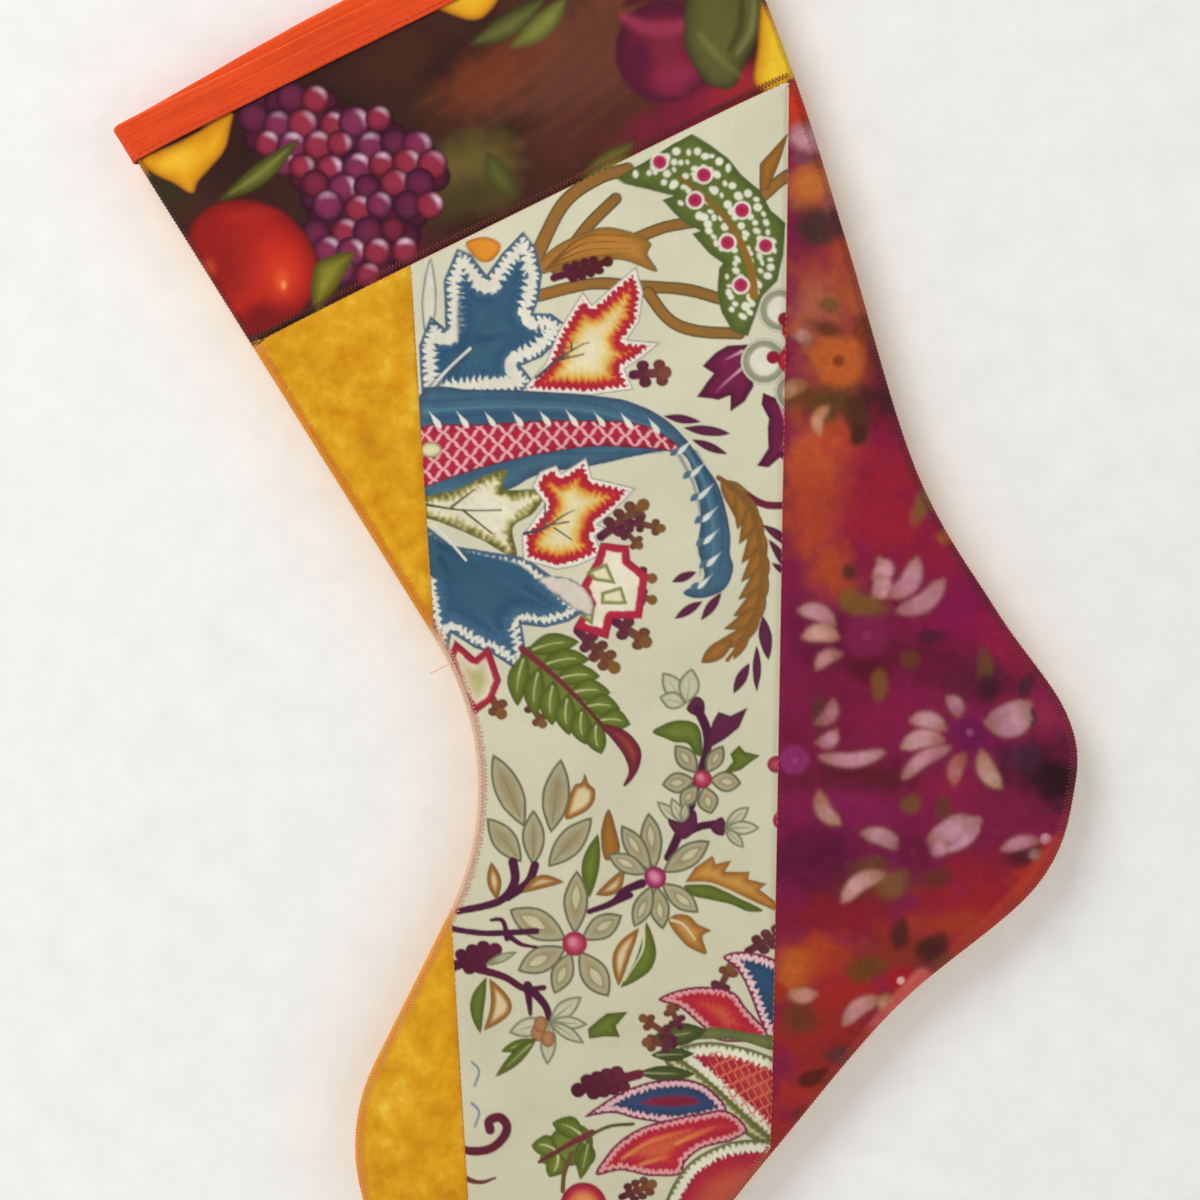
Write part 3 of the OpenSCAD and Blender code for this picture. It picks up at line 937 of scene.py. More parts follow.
class Print:
    """A plan of cloth to paint motifs on."""

    def __init__(self, x0, y0, x1, y1, ground, seed, cell=0.25):
        self.x0, self.y0, self.cell = x0, y0, cell
        self.nx, self.ny = int((x1 - x0) / cell), int((y1 - y0) / cell)
        self.rng = np.random.default_rng(seed)
        self.rgb = np.empty((self.ny, self.nx, 3))
        self.rgb[:] = hex_rgb(ground)
        shape = (self.ny, self.nx)
        self.ragged = 0.6 * value_noise(shape, 5, self.rng) + 0.4 * value_noise(shape, 11, self.rng)
        self.hand = 0.5 * value_noise(shape, 14, self.rng) + 0.5 * value_noise(shape, 40, self.rng)

    def window(self, pts, pad):
        p = np.asarray(pts, float)
        i0, j0 = np.floor((p.min(axis=0) - pad - (self.x0, self.y0)) / self.cell).astype(int)
        i1, j1 = np.ceil((p.max(axis=0) + pad - (self.x0, self.y0)) / self.cell).astype(int)
        i0, i1 = np.clip((i0, i1), 0, self.nx)
        j0, j1 = np.clip((j0, j1), 0, self.ny)
        if i1 <= i0 or j1 <= j0:
            return None
        x = self.x0 + (np.arange(i0, i1) + 0.5) * self.cell
        y = self.y0 + (np.arange(j0, j1) + 0.5) * self.cell
        return (slice(j0, j1), slice(i0, i1)), *np.meshgrid(x, y)

    def put(self, at, alpha, rgb):
        alpha = alpha[..., None]
        self.rgb[at] = self.rgb[at] * (1 - alpha) + rgb * alpha

    def blob(self, pts, stops, jag=0.0, feather=0.0, soft=0.22, sharp=False, alpha=1.0):
        """A closed shape whose colour goes by the distance in from its edge, in bands whose
        borders are ragged by jag, or toothed like a feather's by feather."""
        pts = np.asarray(pts, float)
        win = self.window(pts, 2 + soft)
        if win is None:
            return
        at, x, y = win
        d, along = signed(pts if sharp else curve(pts, 6, closed=True), x, y)
        d = d + 0.18 * self.hand[at]
        teeth = np.abs(np.mod((along + self.ragged[at]) / FEATHER_PITCH, 1) - 0.5) * 2 - 0.5
        teeth = teeth * (1 + 0.8 * self.hand[at])
        inner = d + jag * self.ragged[at] + feather * teeth * smoothstep(0.4, 1.4, d)
        pos, rgb = tones(stops)
        colour = np.stack([np.interp(inner, pos, rgb[:, i]) for i in range(3)], -1)
        colour = colour * (1 + 0.08 * self.hand[at][..., None] + 0.05 * self.ragged[at][..., None])
        self.put(at, smoothstep(-soft, soft, d) * alpha, colour)

    def line(self, pts, width, codes, taper=(1.0, 1.0), soft=0.2, alpha=1.0, patchy=0.0):
        """A brush line. Its width runs from taper[0] to taper[1] of the full width, or with
        taper None swells and closes like a petal, and its colour runs through the codes."""
        p = curve(pts, 6) if len(pts) > 2 else np.asarray(pts, float)
        win = self.window(p, width / 2 + 1 + soft)
        if win is None:
            return
        at, x, y = win
        dist, along, length = nearest(p, x, y)
        f = along / length
        share = taper[0] + (taper[1] - taper[0]) * f if taper else 0.3 + 0.7 * np.sin(np.pi * f) ** 0.5
        rgb = hex_rgb(*codes.split(), "000000")[:-1]
        stop = np.linspace(0, 1, len(rgb))
        colour = np.stack([np.interp(f, stop, rgb[:, i]) for i in range(3)], -1)
        cover = smoothstep(-soft, soft, width / 2 * share - dist + 0.12 * self.hand[at])
        self.put(at, cover * alpha * np.clip(1 - patchy * (0.5 + self.hand[at]), 0, 1), colour)

    def leaf(self, a, b, width, stops, bend=0.0, jag=0.0, feather=0.0, vein=None, fat=0.5, soft=0.22):
        """A pointed leaf or petal from a to b, widest at fat of its length and bent sideways."""
        a, b = np.array(a, float), np.array(b, float)
        axis = b - a
        side = np.array([-axis[1], axis[0]]) / max(np.linalg.norm(axis), 1e-6)
        f = np.linspace(0, 1, 15)
        w = np.sin(np.pi * f ** (math.log(0.5) / math.log(fat))) ** 0.85 * width / 2
        mid = a + f[:, None] * axis + side * (bend * np.sin(np.pi * f))[:, None]
        pts = np.vstack([mid + side * w[:, None], (mid - side * w[:, None])[-2:0:-1]])
        self.blob(pts, stops, jag=jag, feather=feather, sharp=True, soft=soft)
        if vein:
            self.line(mid[2:-3:2], 0.6, vein, (1.2, 0.5))

    def dot(self, c, r, stops, squash=1.0, turn=0.0, soft=0.22, alpha=1.0):
        a = np.linspace(0, 2 * math.pi, 25)[:-1]
        u = np.stack([np.cos(a) * r, np.sin(a) * r * squash], 1)
        k, s = math.cos(math.radians(turn)), math.sin(math.radians(turn))
        self.blob(u @ np.array([[k, s], [-s, k]]) + c, stops, sharp=True, soft=soft, alpha=alpha)

    def sprig(self, a, b, width, first="541c38", last="7c4c2c", pairs=3):
        """An oak leaf of round lobes in pairs, whose colour changes from its foot to its tip."""
        a, b = np.array(a, float), np.array(b, float)
        axis = b - a
        side = np.array([-axis[1], axis[0]]) / np.linalg.norm(axis)
        r = min(width * 0.23, np.linalg.norm(axis) / (pairs + 1) * 0.5)
        self.line([a, b - axis * 0.15], r * 1.5, first + " " + last)
        for i in range(pairs):
            f = 0.28 + 0.44 * i / max(pairs - 1, 1)
            shade = hex_mix(first, last, f)
            reach = (width / 2 - r) * (1.1 - 0.5 * abs(f - 0.45))
            for k in (-1, 1):
                c = a + axis * (f + 0.02 * k) + side * k * reach
                self.line([a + axis * (f - 0.08), c], r * 1.2, shade)
                self.dot(c, r, [(0, hex_mix(shade, "2c1018", 0.25)), (r * 0.6, shade)], squash=0.86)
        self.dot(b - axis / np.linalg.norm(axis) * r, r * 1.1, last)

    def dab(self, c, rx, ry, turn, code, soft=0.5, alpha=1.0, wander=0.35):
        """A soft patch of dye with a wandering edge. soft is the share of its radius that fades."""
        r = max(rx, ry) * (1.2 + soft)
        win = self.window([np.array(c) - r, np.array(c) + r], 0)
        if win is None:
            return
        at, x, y = win
        k, s = math.cos(math.radians(turn)), math.sin(math.radians(turn))
        u, v = (x - c[0]) * k + (y - c[1]) * s, -(x - c[0]) * s + (y - c[1]) * k
        d = np.hypot(u / rx, v / ry) + wander * self.hand[at]
        self.put(at, (1 - smoothstep(1 - soft, 1 + soft * 0.6, d)) * alpha, hex_rgb(code))

    def net(self, outline, mid, pitch, code, width=0.11):
        """Crossing curved lines like fish scales inside an outline, along a middle line."""
        win = self.window(outline, 1)
        at, x, y = win
        d, _ = signed(curve(outline, 6, closed=True), x, y)
        mx, my = np.asarray(mid, float).T
        v = (y - np.interp(x, mx, my)) / pitch
        bow = 0.05 * np.sin(4 * np.pi * v)
        lines = np.zeros(x.shape)
        for k in (-1, 1):
            phase = np.abs(np.mod(x / pitch + k * (v + bow), 1) - 0.5)
            lines = np.maximum(lines, 1 - smoothstep(width * 0.5, width * 1.3, phase))
        self.put(at, lines * smoothstep(0.2, 0.9, d), hex_rgb(code))

    def sample(self, x, y):
        """The plan's colour at points."""
        gx = np.clip((x - self.x0) / self.cell - 0.5, 0, self.nx - 1.001)
        gy = np.clip((y - self.y0) / self.cell - 0.5, 0, self.ny - 1.001)
        i, j = gx.astype(int), gy.astype(int)
        fx, fy = (gx - i)[:, None], (gy - j)[:, None]
        g = self.rgb
        return ((g[j, i] * (1 - fx) + g[j, i + 1] * fx) * (1 - fy)
                + (g[j + 1, i] * (1 - fx) + g[j + 1, i + 1] * fx) * fy)

    def wear_on(self, key):
        ob, uv = front[key]
        x, y = plan_xy(uv[:, 0], uv[:, 1], key)
        set_paint(ob, self.sample(x, y))


def hex_mix(a, b, f):
    """The hex colour f of the way from a to b."""
    pairs = ((int(a[i:i + 2], 16), int(b[i:i + 2], 16)) for i in (0, 2, 4))
    return "".join("%02x" % round(x * (1 - f) + y * f) for x, y in pairs)


# Colours that several motifs share
SAGE = [(0, "62644a"), (0.7, "6c6c50"), (1.05, "a8a080"), (3.5, "988c68")]
SAGE_PALE = [(0, "747a60"), (0.6, "7c8268"), (1.0, "bcb89c"), (3.0, "c6c2a6")]
BLUE_LEAF = [(0, "465f74"), (1.3, "4e6a80"), (1.6, "dedac8"), (5.2, "dcd8c6"), (5.7, "466a82"),
             (7.5, "2e526e"), (11, "385c70")]
BLUE_PLUME = [(0, "384c62"), (1.2, "3e5a70"), (4, "46697c"), (8, "385a72")]
RED_LEAF = [(0, "8c8c84"), (0.3, "9c9a90"), (0.6, "e8e0d2"), (1.5, "e6dccc"), (1.8, "ac2038"),
            (4.0, "b42a32"), (5.0, "d4782c"), (6.4, "dcb85c"), (8.6, "e2d29c"), (12, "e6dcba")]
OLIVE_CREAM = [(0, "5e5c2c"), (1.0, "7c763c"), (2.2, "b4a86c"), (3.4, "dcd4b0"), (6, "e2dcc4")]
PURPLE = [(0, "4e2038"), (1.2, "5c2440")]
MAROON = [(0, "4c1830"), (2.0, "661c3e"), (4, "741f44")]
BROWN = [(0, "6a5230"), (0.8, "8a5c26"), (3, "a46c2c")]
BROWN_CREAM = [(0, "7a5a30"), (1.2, "a0682c"), (2.4, "d2c096")]
LEAF_GREEN = [(0, "48521e"), (1.0, "5a6626"), (3, "6c7830")]
ROSE_EYE = [(0, "8c2440"), (1.5, "a83850"), (3.2, "c46074")]
STEM = "4c1c38"


def flower(p, centre, eye, petals, stops=SAGE, eye_stops=ROSE_EYE):
    """Petals given by their direction, reach and width, with a round eye over their feet."""
    for deg, reach, width in petals:
        foot, tip = towards(centre, deg, eye * 0.7), towards(centre, deg, reach)
        p.leaf(foot, tip, width, stops, fat=0.52)
        p.leaf(towards(centre, deg, reach * 0.42), towards(centre, deg, reach * 0.84), width * 0.42,
               [(0, "948860"), (0.45, "948860"), (0.7, "beb694")])
    p.dot(centre, eye, eye_stops)
    p.dot((centre[0] - 0.8, centre[1] - 0.8), eye * 0.35, "d48a94", soft=0.8, alpha=0.7)


def twig(p, start, leaves, stops=SAGE_PALE, vein="94906a"):
    """Small leaves from one place, given by their direction, reach and width."""
    for deg, reach, width in leaves:
        p.leaf(start, towards(start, deg, reach), width, stops, vein=vein)


def palm(p, foot, tip, blades, reach):
    """A leaf of blades on both sides of a red rib, each with a pale vein."""
    (x0, y0), (x1, y1) = foot, tip
    lean = math.degrees(math.atan2(y1 - y0, x1 - x0))
    p.leaf(foot, tip, reach * 1.1, LEAF_GREEN, fat=0.4)
    for i in range(blades):
        f = (i + 0.3) / blades
        c = x0 + (x1 - x0) * f, y0 + (y1 - y0) * f
        r = reach * (1.0 - 0.45 * f)
        for side in (-1, 1):
            p.leaf(c, towards(c, lean + side * (56 - 20 * f), r), 7.4, LEAF_GREEN, bend=side * 1.2, fat=0.5,
                   vein="b4ba7c")
    p.line([foot, ((x0 + x1) / 2 + 0.8, (y0 + y1) / 2 - 0.8), tip], 1.8, "7c2c38 5e2c30", (1.3, 0.6))


def paint_floral():
    p = Print(-8, -75, 142, 372, "cfcbb0", 41)
    # Painted shade: the cream ground darkens towards the bottom, where the light falls off
    yy = np.linspace(0, 1, p.ny)[:, None, None]
    p.rgb[:] = hex_rgb("d6d3b8") * (1 - yy) + hex_rgb("c6c0a4") * yy
    # Brown stems behind, with a fan leaf and berries
    for pts, w in (([(40, -2), (50, -22), (62, -31), (72, -34)], 4.2),
                   ([(48, 0), (58, -14), (68, -24)], 3.6), ([(74, -10), (84, -14), (94, -16)], 3.4),
                   ([(42, 9), (60, 5), (78, 6), (92, 7), (103, 10)], 3.6),
                   ([(79, 8), (86, 17), (95, 21), (110, 22)], 3.6),
                   ([(118, -25), (128, -33), (140, -36)], 3.6)):
        p.line(pts, w + 0.7, "5c4a28")
        p.line(pts, w - 0.5, "9a6a30 8a6430")
    p.blob([(38, 2), (48, -8), (62, -14), (72, -13), (80, -9), (79, -5), (82, 1), (70, -3), (58, -2),
            (46, 1)],
           [(0, "6a5a34"), (0.8, "94682c"), (4, "b87c36")])
    for k in range(4):
        p.line([(44 + k, 0 - k), (58, -4 - 2.4 * k), (72 + k, -5 - 2 * k)], 0.6, "7c5424", (1.2, 0.3))
    p.sprig((47, 3), (67, -3), 7.5, "5c1c38", "54201e", 4)
    p.blob([(117, -27), (117, -36), (127, -47), (124, -37), (120, -27)], BROWN, sharp=True)
    # A leaf of blue feathers, a red-edged leaf, and the tip of an orange one
    p.blob([(17, -9), (24, -11), (29, -8), (26, -3), (21, -3)], [(0, "a86420"), (1.5, "dc8c2a")])
    p.leaf((4, 26), (5, -4), 5, [(0, "4c6070"), (1, "d8d4c0")])
    p.blob([(2, 44), (1, 26), (5, 16), (10, 20), (9.5, 4), (14, -7), (19, -5), (24, 2), (29, -5),
            (36.5, -13), (41, -7), (43, 2), (42, 10), (40, 15), (46, 15), (52, 19.5), (48, 25), (43, 30),
            (36, 33), (40, 38), (36, 42), (20, 43)], BLUE_LEAF, jag=0.5, feather=2.4, sharp=True)
    for pts in ([(4, 42), (14, 32), (24, 18), (35, -2)], [(22, 24), (42, 21)],
                [(16, 30), (15, 14), (16, 4)]):
        p.line(pts, 2.6, "2a4a66 3a5e78", (1.2, 0.3), soft=0.8, alpha=0.8)
    p.line([(2.5, 44), (10, 35), (18.5, 27)], 0.9, "d8d8ca")
    p.blob([(75, -1), (77.5, 8), (76, 18), (72, 24), (83.5, 25), (76, 31), (71, 34), (74, 41), (60, 43),
            (38, 42), (37, 40), (44, 32), (49, 20), (57, 7.5), (60, 12), (67, 6)], RED_LEAF, feather=1.4,
           sharp=True)
    p.line([(41, 37), (48, 31), (56, 26), (59, 25)], 0.9, "3c4450", (1.3, 0.4))
    for a, b in (((48, 31), (52, 29.5)), ((50, 29.5), (50, 26)), ((49, 31), (57, 29)), ((53, 28), (53, 25))):
        p.line([a, b], 0.6, "4c4c48")
    p.sprig((74, 36), (87, 35), 10, "581c38", "7c4438", 2)
    # A curled green leaf, pierced with cream, with red spots
    curl = [(68, -31), (77, -36), (88, -43), (94, -46), (100, -42.5), (106, -38), (111, -32), (117, -27),
            (121, -20), (126, -16), (125, -5), (123, 4), (118, 9), (113, 23), (108, 21.5), (104, 15),
            (102.5, 8), (103, 0), (104.5, -2), (100, -5), (94, -12), (97, -13), (92, -15.5), (88, -19),
            (84, -23.5), (88, -25), (71, -29)]
    p.blob(curl, [(0, "4c5a2a"), (4, "5f6e30")], sharp=True)
    rng = np.random.default_rng(12)
    for f in np.linspace(0.03, 0.97, 27):
        i = f * 6
        mx = np.interp(i, range(7), (72, 88, 99, 107, 113, 114, 110))
        my = np.interp(i, range(7), (-31, -33, -29, -20, -8, 4, 18))
        for k in (-1.45, -0.75, 0.1, 0.8, 1.5):
            room = (4.2 + 2.2 * math.sin(math.pi * f))
            c = (mx + k * room * 0.7 * (0.5 + f) + rng.uniform(-1, 1),
                 my - k * room * (1 - 0.6 * f) + rng.uniform(-1, 1))
            at = np.array([[c[0]]]), np.array([[c[1]]])
            if signed(np.array(curl), *at)[0][0, 0] > 2.0:
                p.dot(c, rng.uniform(0.9, 1.5), "dedcc4", squash=rng.uniform(0.6, 1),
                      turn=rng.uniform(0, 90), soft=0.4)
    p.line([(90, -31), (101, -22), (109, -12), (114, 0), (115, 9)], 3.0, "7c6028 96682a", (0.5, 1.0))
    for c in ((83, -36.5), (98, -32), (95, -23.5), (111, -20), (106, -9), (119, -8), (110.5, 5.5)):
        p.dot(c, 3.2, [(0, "e0dcc8"), (0.7, "dccfc4"), (1.0, "b4385a"), (2.4, "a82048")])
    # The flower cut by the right-hand seam, and its dark petals
    p.blob([(113, 25.5), (106, 26), (102, 28.5), (97.5, 33), (101.5, 35.5), (99, 38.5), (95.5, 43.5),
            (103, 44.5), (107, 43), (107, 48.5), (112, 45), (115, 40), (114, 34)], MAROON, sharp=True)
    p.blob([(118, 42), (123, 44), (130, 47), (131, 59), (127, 66.5), (124, 64), (120, 67.5), (116, 67),
            (120, 61), (119.5, 54), (120, 51), (117.5, 46)], MAROON, sharp=True)
    for pts in ([(112, 33), (106, 38), (102, 42)], [(111, 28), (105, 31)],
                [(124, 46), (126, 54), (124, 62)]):
        p.line(pts, 1.1, "d8a8b4 9c4868", (1, 0.3), alpha=0.9)
    for c, r in (((124, 14), 7.6), ((118.5, 31.5), 8.0), ((128.5, 42), 6.6), ((133, 12), 7)):
        p.dot(c, r, [(0, "7c7e68"), (0.4, "dad8c6"), (0.9, "8c8e70"), (2.6, "9c9a7c"), (3.4, "dcd8c4")],
              soft=0.3)
    p.blob([(138, 15), (127, 16), (124.5, 21), (126, 25), (123, 31), (127, 36), (138, 37)],
           [(0, "9c1c30"), (2.0, "c02c34"), (3.6, "cf5a34"), (5, "dca048")], jag=0.5)
    for c in ((125.5, 17), (121.5, 30)):
        p.dot(c, 2.3, "8c1830")
    p.line([(108, 73.5), (116, 79), (122, 80.5), (131, 79.5)], 2.6, "6a2236")
    for a, b, w in (((84, 50), (97, 52), 3.0), ((91, 54), (107, 56), 3.4), ((94, 58), (106, 63), 3.0),
                    ((87, 106.5), (95.5, 103), 3.0), ((88, 119), (97.5, 113), 3.2),
                    ((97, 119.5), (104, 110), 3.2), ((118, 87), (130, 95), 3.4),
                    ((120, 92), (129, 104), 3.4), ((118, 118), (120, 133), 4.4),
                    ((116, 128), (116, 144), 3.0), ((113.5, 134), (108, 144.5), 3.8),
                    ((121, 100), (129, 105), 2.6)):
        p.leaf(a, b, w, PURPLE)
    # The plume that sweeps across, with its red scaly heart
    p.blob([(1, 43), (20, 41), (40, 41.5), (65, 43.5), (75, 46), (85, 51), (92, 58), (97, 65), (102, 72),
            (105, 80), (107, 90), (107, 97), (108, 102), (105, 109), (97, 112), (91, 110), (98, 105),
            (96, 95), (97, 84), (95, 72), (88, 62), (60, 67), (42, 70), (28, 76), (1, 77)], BLUE_PLUME,
           jag=0.8)
    for lift, code, w in ((0, "2c4a70", 1.6), (3.4, "5c8a98", 1.2), (6.4, "2e4c6e", 1.4),
                          (24, "2c4868", 1.4)):
        p.line([(3, 45 + lift), (30, 44 + lift * 0.8), (60, 46 + lift * 0.7), (84, 54 + lift * 0.35)], w,
               code,
               (1, 0.3), soft=0.7, alpha=0.55)
    for dx, code in ((-3.2, "2c4a6c"), (0.4, "5c8a98"), (3.2, "2c4a6c")):
        p.line([(92 + dx, 62), (98 + dx, 74), (101 + dx, 90), (100 + dx, 104)], 1.3, code, (1, 0.4),
               soft=0.6, alpha=0.6)
    heart = [(1, 54.5), (20, 53), (45, 51.5), (72, 52), (84, 56), (90, 62), (78, 61), (60, 60.5), (40, 63.5),
             (25, 67), (12, 71), (1, 73)]
    p.blob(heart, [(0, "5c1c34"), (0.8, "9c2038"), (4, "b0263e")], jag=0.3)
    p.net(heart, [(0, 63), (20, 60.5), (45, 57.5), (70, 56.5), (88, 59)], 6.2, "e4a8ac")
    p.dot((5, 61.5), 3.8, [(0, "7c7440"), (1, "d4ca98"), (3, "e0dab4")], squash=0.7)
    for k in range(9):
        x = 8 + 9.3 * k
        y = 53 + 0.02 * abs(x - 45) + (0.16 * (x - 70) if x > 70 else 0)
        p.leaf((x - 3.4, y - 5.2), (x + 0.6, y + 0.4), 1.9, "dcdccc", fat=0.7)
    for k in range(7):
        x, y = np.interp(k, range(7), (91, 95.5, 98, 99.5, 100, 101, 98)), 60 + 7.6 * k
        p.leaf((x + 3.2, y - 2), (x - 2.2, y + 3.2), 1.7, "d4d8cc", fat=0.7)
        p.leaf((x - 1.8, y + 1), (x - 4.6, y + 3.8), 2.2, "4c6c80")
    # Below it a cream leaf, a second red-edged leaf, and a second leaf of blue
    p.blob([(2, 78), (14, 75), (22, 71), (31, 68), (30, 75), (44, 75), (40, 83), (33, 88), (34, 98),
            (22, 92), (8, 86), (2, 84)], OLIVE_CREAM, jag=1.6, feather=1.2)
    for pts in ([(3, 80), (16, 82), (29, 82)], [(12, 81), (20, 75)], [(16, 82), (26, 90)]):
        p.line(pts, 0.8, "4c5234", (1.2, 0.6))
    p.blob([(2, 86), (12, 94), (30, 97), (37, 98), (46, 104), (54, 112), (58.5, 116), (52, 120),
            (44, 122), (36, 121), (38, 132), (35, 137), (26, 131), (20, 129), (12, 124), (10, 134),
            (6, 128), (3, 110)],
           [(0, "465f74"), (1.4, "4e6a80"), (1.7, "dedac8"), (3.4, "dcd8c6"), (3.9, "466a82"), (8, "2e526e"),
            (12, "385c70")], jag=0.5, feather=1.8, sharp=True)
    p.blob([(3, 90), (14, 95), (34, 100), (40, 106), (30, 110), (16, 106), (4, 104)], "34586f", soft=0.8)
    for pts in ([(8, 94), (22, 102), (44, 114)], [(8, 98), (16, 110), (30, 126)]):
        p.line(pts, 2.2, "264660 44687e", (1, 0.4), soft=0.8, alpha=0.8)
    p.line([(6, 87), (11, 92), (17, 99)], 0.8, "d8d8ca")
    p.blob([(39.5, 74), (42, 69), (48, 66.5), (49.5, 69.5), (58, 64), (60, 71), (75, 74.5), (67, 83),
            (62, 87), (65, 88), (61, 91), (63.5, 97), (55, 101), (48, 102.5), (36.5, 99), (36, 91),
            (44, 80)],
           RED_LEAF, feather=1.3, sharp=True)
    p.line([(37, 90), (44, 88), (50, 84), (54, 82)], 0.9, "3c4450", (1.3, 0.4))
    for a, b in (((44, 88), (44, 80)), ((46, 87), (52, 86)), ((47, 88), (53, 92))):
        p.line([a, b], 0.6, "4c4c48")
    # A red zigzag flower with cream inside, and oak leaves round it
    for a, b, w, n in (((63, 91), (79, 79), 9, 3), ((73, 86), (85, 88.5), 6.5, 2),
                       ((70, 88), (77, 95), 6, 2), ((75, 104), (82, 105.5), 7, 1),
                       ((75, 111), (82, 113), 7, 1), ((68, 120), (80, 128), 9, 2),
                       ((55, 123), (69, 137), 8.5, 3), ((22, 140), (30, 153), 8, 2),
                       ((38, 146), (44, 156), 6.5, 2)):
        p.sprig(a, b, w, "581c3c", "7c542c", n)
    p.blob([(63, 93), (72.5, 94), (73, 99), (79, 104), (77, 119), (67, 119), (65.5, 126), (53.5, 122),
            (58.5, 114), (56, 108), (61, 99)], [(0, "8c2038"), (0.6, "a82440"), (2.6, "b02c40"),
                                                (3.1, "e2d8c0"), (7, "e4dcc4")],
           jag=0.3, sharp=True)
    for pts in ([(58, 103), (65, 100), (68, 107), (61, 106)], [(63, 110), (70, 108), (72, 114), (63, 114)],
                [(58, 113), (61, 116), (60, 121), (56, 118)]):
        p.blob(pts, [(0, "7c7a44"), (0.9, "8c8a52"), (1.5, "dcd4b0")], sharp=True)
    p.blob([(42, 106), (52, 105), (60, 112), (58, 118)], [(0, "5c6468"), (1, "d4c8b8"), (4, "d8ccc0")],
           jag=0.6)
    palm(p, (36, 129), (65, 157), 6, 19)
    p.blob([(11, 132), (13, 126), (20, 132), (25, 128), (29, 140), (26, 147), (20, 152), (14, 144)],
           [(0, "8c2038"), (2.2, "ac2c3e"), (2.8, "dccfb4"), (6, "b8b078")], jag=0.3, sharp=True)
    # The feathered brown leaf and the crescent
    rib = curve([(103, 71), (113, 79), (117, 92), (118, 106), (115, 120), (106, 133)], 6)
    for i in range(3, len(rib) - 3, 3):
        deg = math.degrees(math.atan2(*(rib[i + 2] - rib[i])[::-1]))
        p.leaf(rib[i - 2], towards(rib[i], deg + 46, 10.5), 5.0, BROWN, bend=-1.2, fat=0.4)
        p.leaf(rib[i - 2], towards(rib[i], deg - 16, 6), 3.4, BROWN)
    p.line(rib[::3], 1.8, "7c5428 8a5c28", (1, 0.8))
    p.leaf((108, 126), (97, 134), 6, BROWN)
    p.blob([(63, 155.5), (68, 155.5), (72.5, 158), (76, 162), (76.8, 166), (75.5, 171), (72, 175.5),
            (70.5, 175.5), (72.4, 171), (71, 166), (68, 161.5)],
           [(0, "5c2034"), (1.8, "7c2c34"), (3.4, "98482c")])
    # The bud and the first flower on the stem at the ankle
    twig(p, (92, 148), ((233, 13.5, 7.0), (279, 12.5, 7.4), (195, 9.5, 6.2)), vein="a49c70")
    p.blob([(92, 149.5), (95, 145.5), (98, 147), (98, 151), (95, 152)], PURPLE)
    p.line([(96, 150), (99, 157), (99, 164), (96, 174), (93, 184), (86, 200)], 3.2, STEM)
    p.blob([(98.5, 164), (105, 160), (110, 156), (113, 149), (107, 152), (103, 150.5), (101, 154)], PURPLE,
           sharp=True)
    p.blob([(80.5, 157.5), (84, 155), (89, 153.5), (94, 154), (96.8, 157), (97.5, 165), (95, 165),
            (92.5, 161.5), (88, 161), (84.5, 159.5)], LEAF_GREEN)
    flower(p, (97.5, 173.5), 3.3, [(231, 15, 7.2), (302, 13.5, 6.0), (172, 14, 7.4), (6, 13.5, 7.4),
                                   (76, 12.5, 7.6), (128, 12, 6.4)])
    p.blob([(105, 171), (108, 167.5), (107, 165), (110, 162), (112, 164.3), (117, 165.5), (113.5, 168),
            (110.5, 170.5), (106.5, 171.5)], LEAF_GREEN, sharp=True)
    for c, r in (((122.5, 168.5), 3.0), ((124.5, 187.5), 3.1), ((127, 161), 3.4), ((131.5, 158), 3.2),
                 ((131, 164), 3.0)):
        p.dot(c, r, ROSE_EYE)
    p.line([(91, 192), (97, 189.5), (104, 188.5)], 2.8, STEM)
    p.blob([(100, 189), (104.5, 186.5), (105, 192.5), (101.5, 192)], PURPLE)
    twig(p, (105, 190), ((-40, 11, 4.8), (0, 12, 5.0), (46, 9.5, 4.0)))
    twig(p, (91, 189), ((221, 12, 4.4), (246, 10, 4.2), (277, 8, 3.4)))
    p.blob([(86, 187), (91, 188), (95, 184), (95.5, 190), (91, 194), (87, 190.5)], PURPLE)
    # The tulip on its branch at the ankle
    for a, b, w in (((37, 190), (26, 165), 9.6), ((46, 192), (49.5, 166.5), 9.6),
                    ((36, 202), (24, 187), 8.6), ((45, 203.5), (60, 186.5), 9.0),
                    ((40, 203), (40, 184), 8.0)):
        p.leaf(a, b, w, SAGE, vein="8c8058")
    p.blob([(51, 187), (52, 180), (54, 175.5), (56.3, 174.5), (57.5, 171.5), (59, 175), (61, 177),
            (60.5, 181.5), (57, 185)], BROWN_CREAM)
    p.line([(33, 202), (33.5, 209), (28, 215.5), (14, 219)], 3.0, STEM, (1.1, 0.8))
    p.line([(40.5, 203), (38, 209), (31, 214)], 3.0, STEM)
    p.leaf((25.5, 202), (27.5, 215), 5.0, BROWN_CREAM)
    p.leaf((36, 212.5), (50.5, 208.5), 4.6, BROWN_CREAM, bend=-2)
    p.leaf((59, 214), (62, 192), 6.0, LEAF_GREEN, bend=-1)
    p.blob([(65.5, 183.5), (68, 190), (69.3, 198), (64.5, 201), (63, 192)], BROWN)
    p.leaf((61, 213), (71, 204), 5.2, BROWN_CREAM, bend=2)
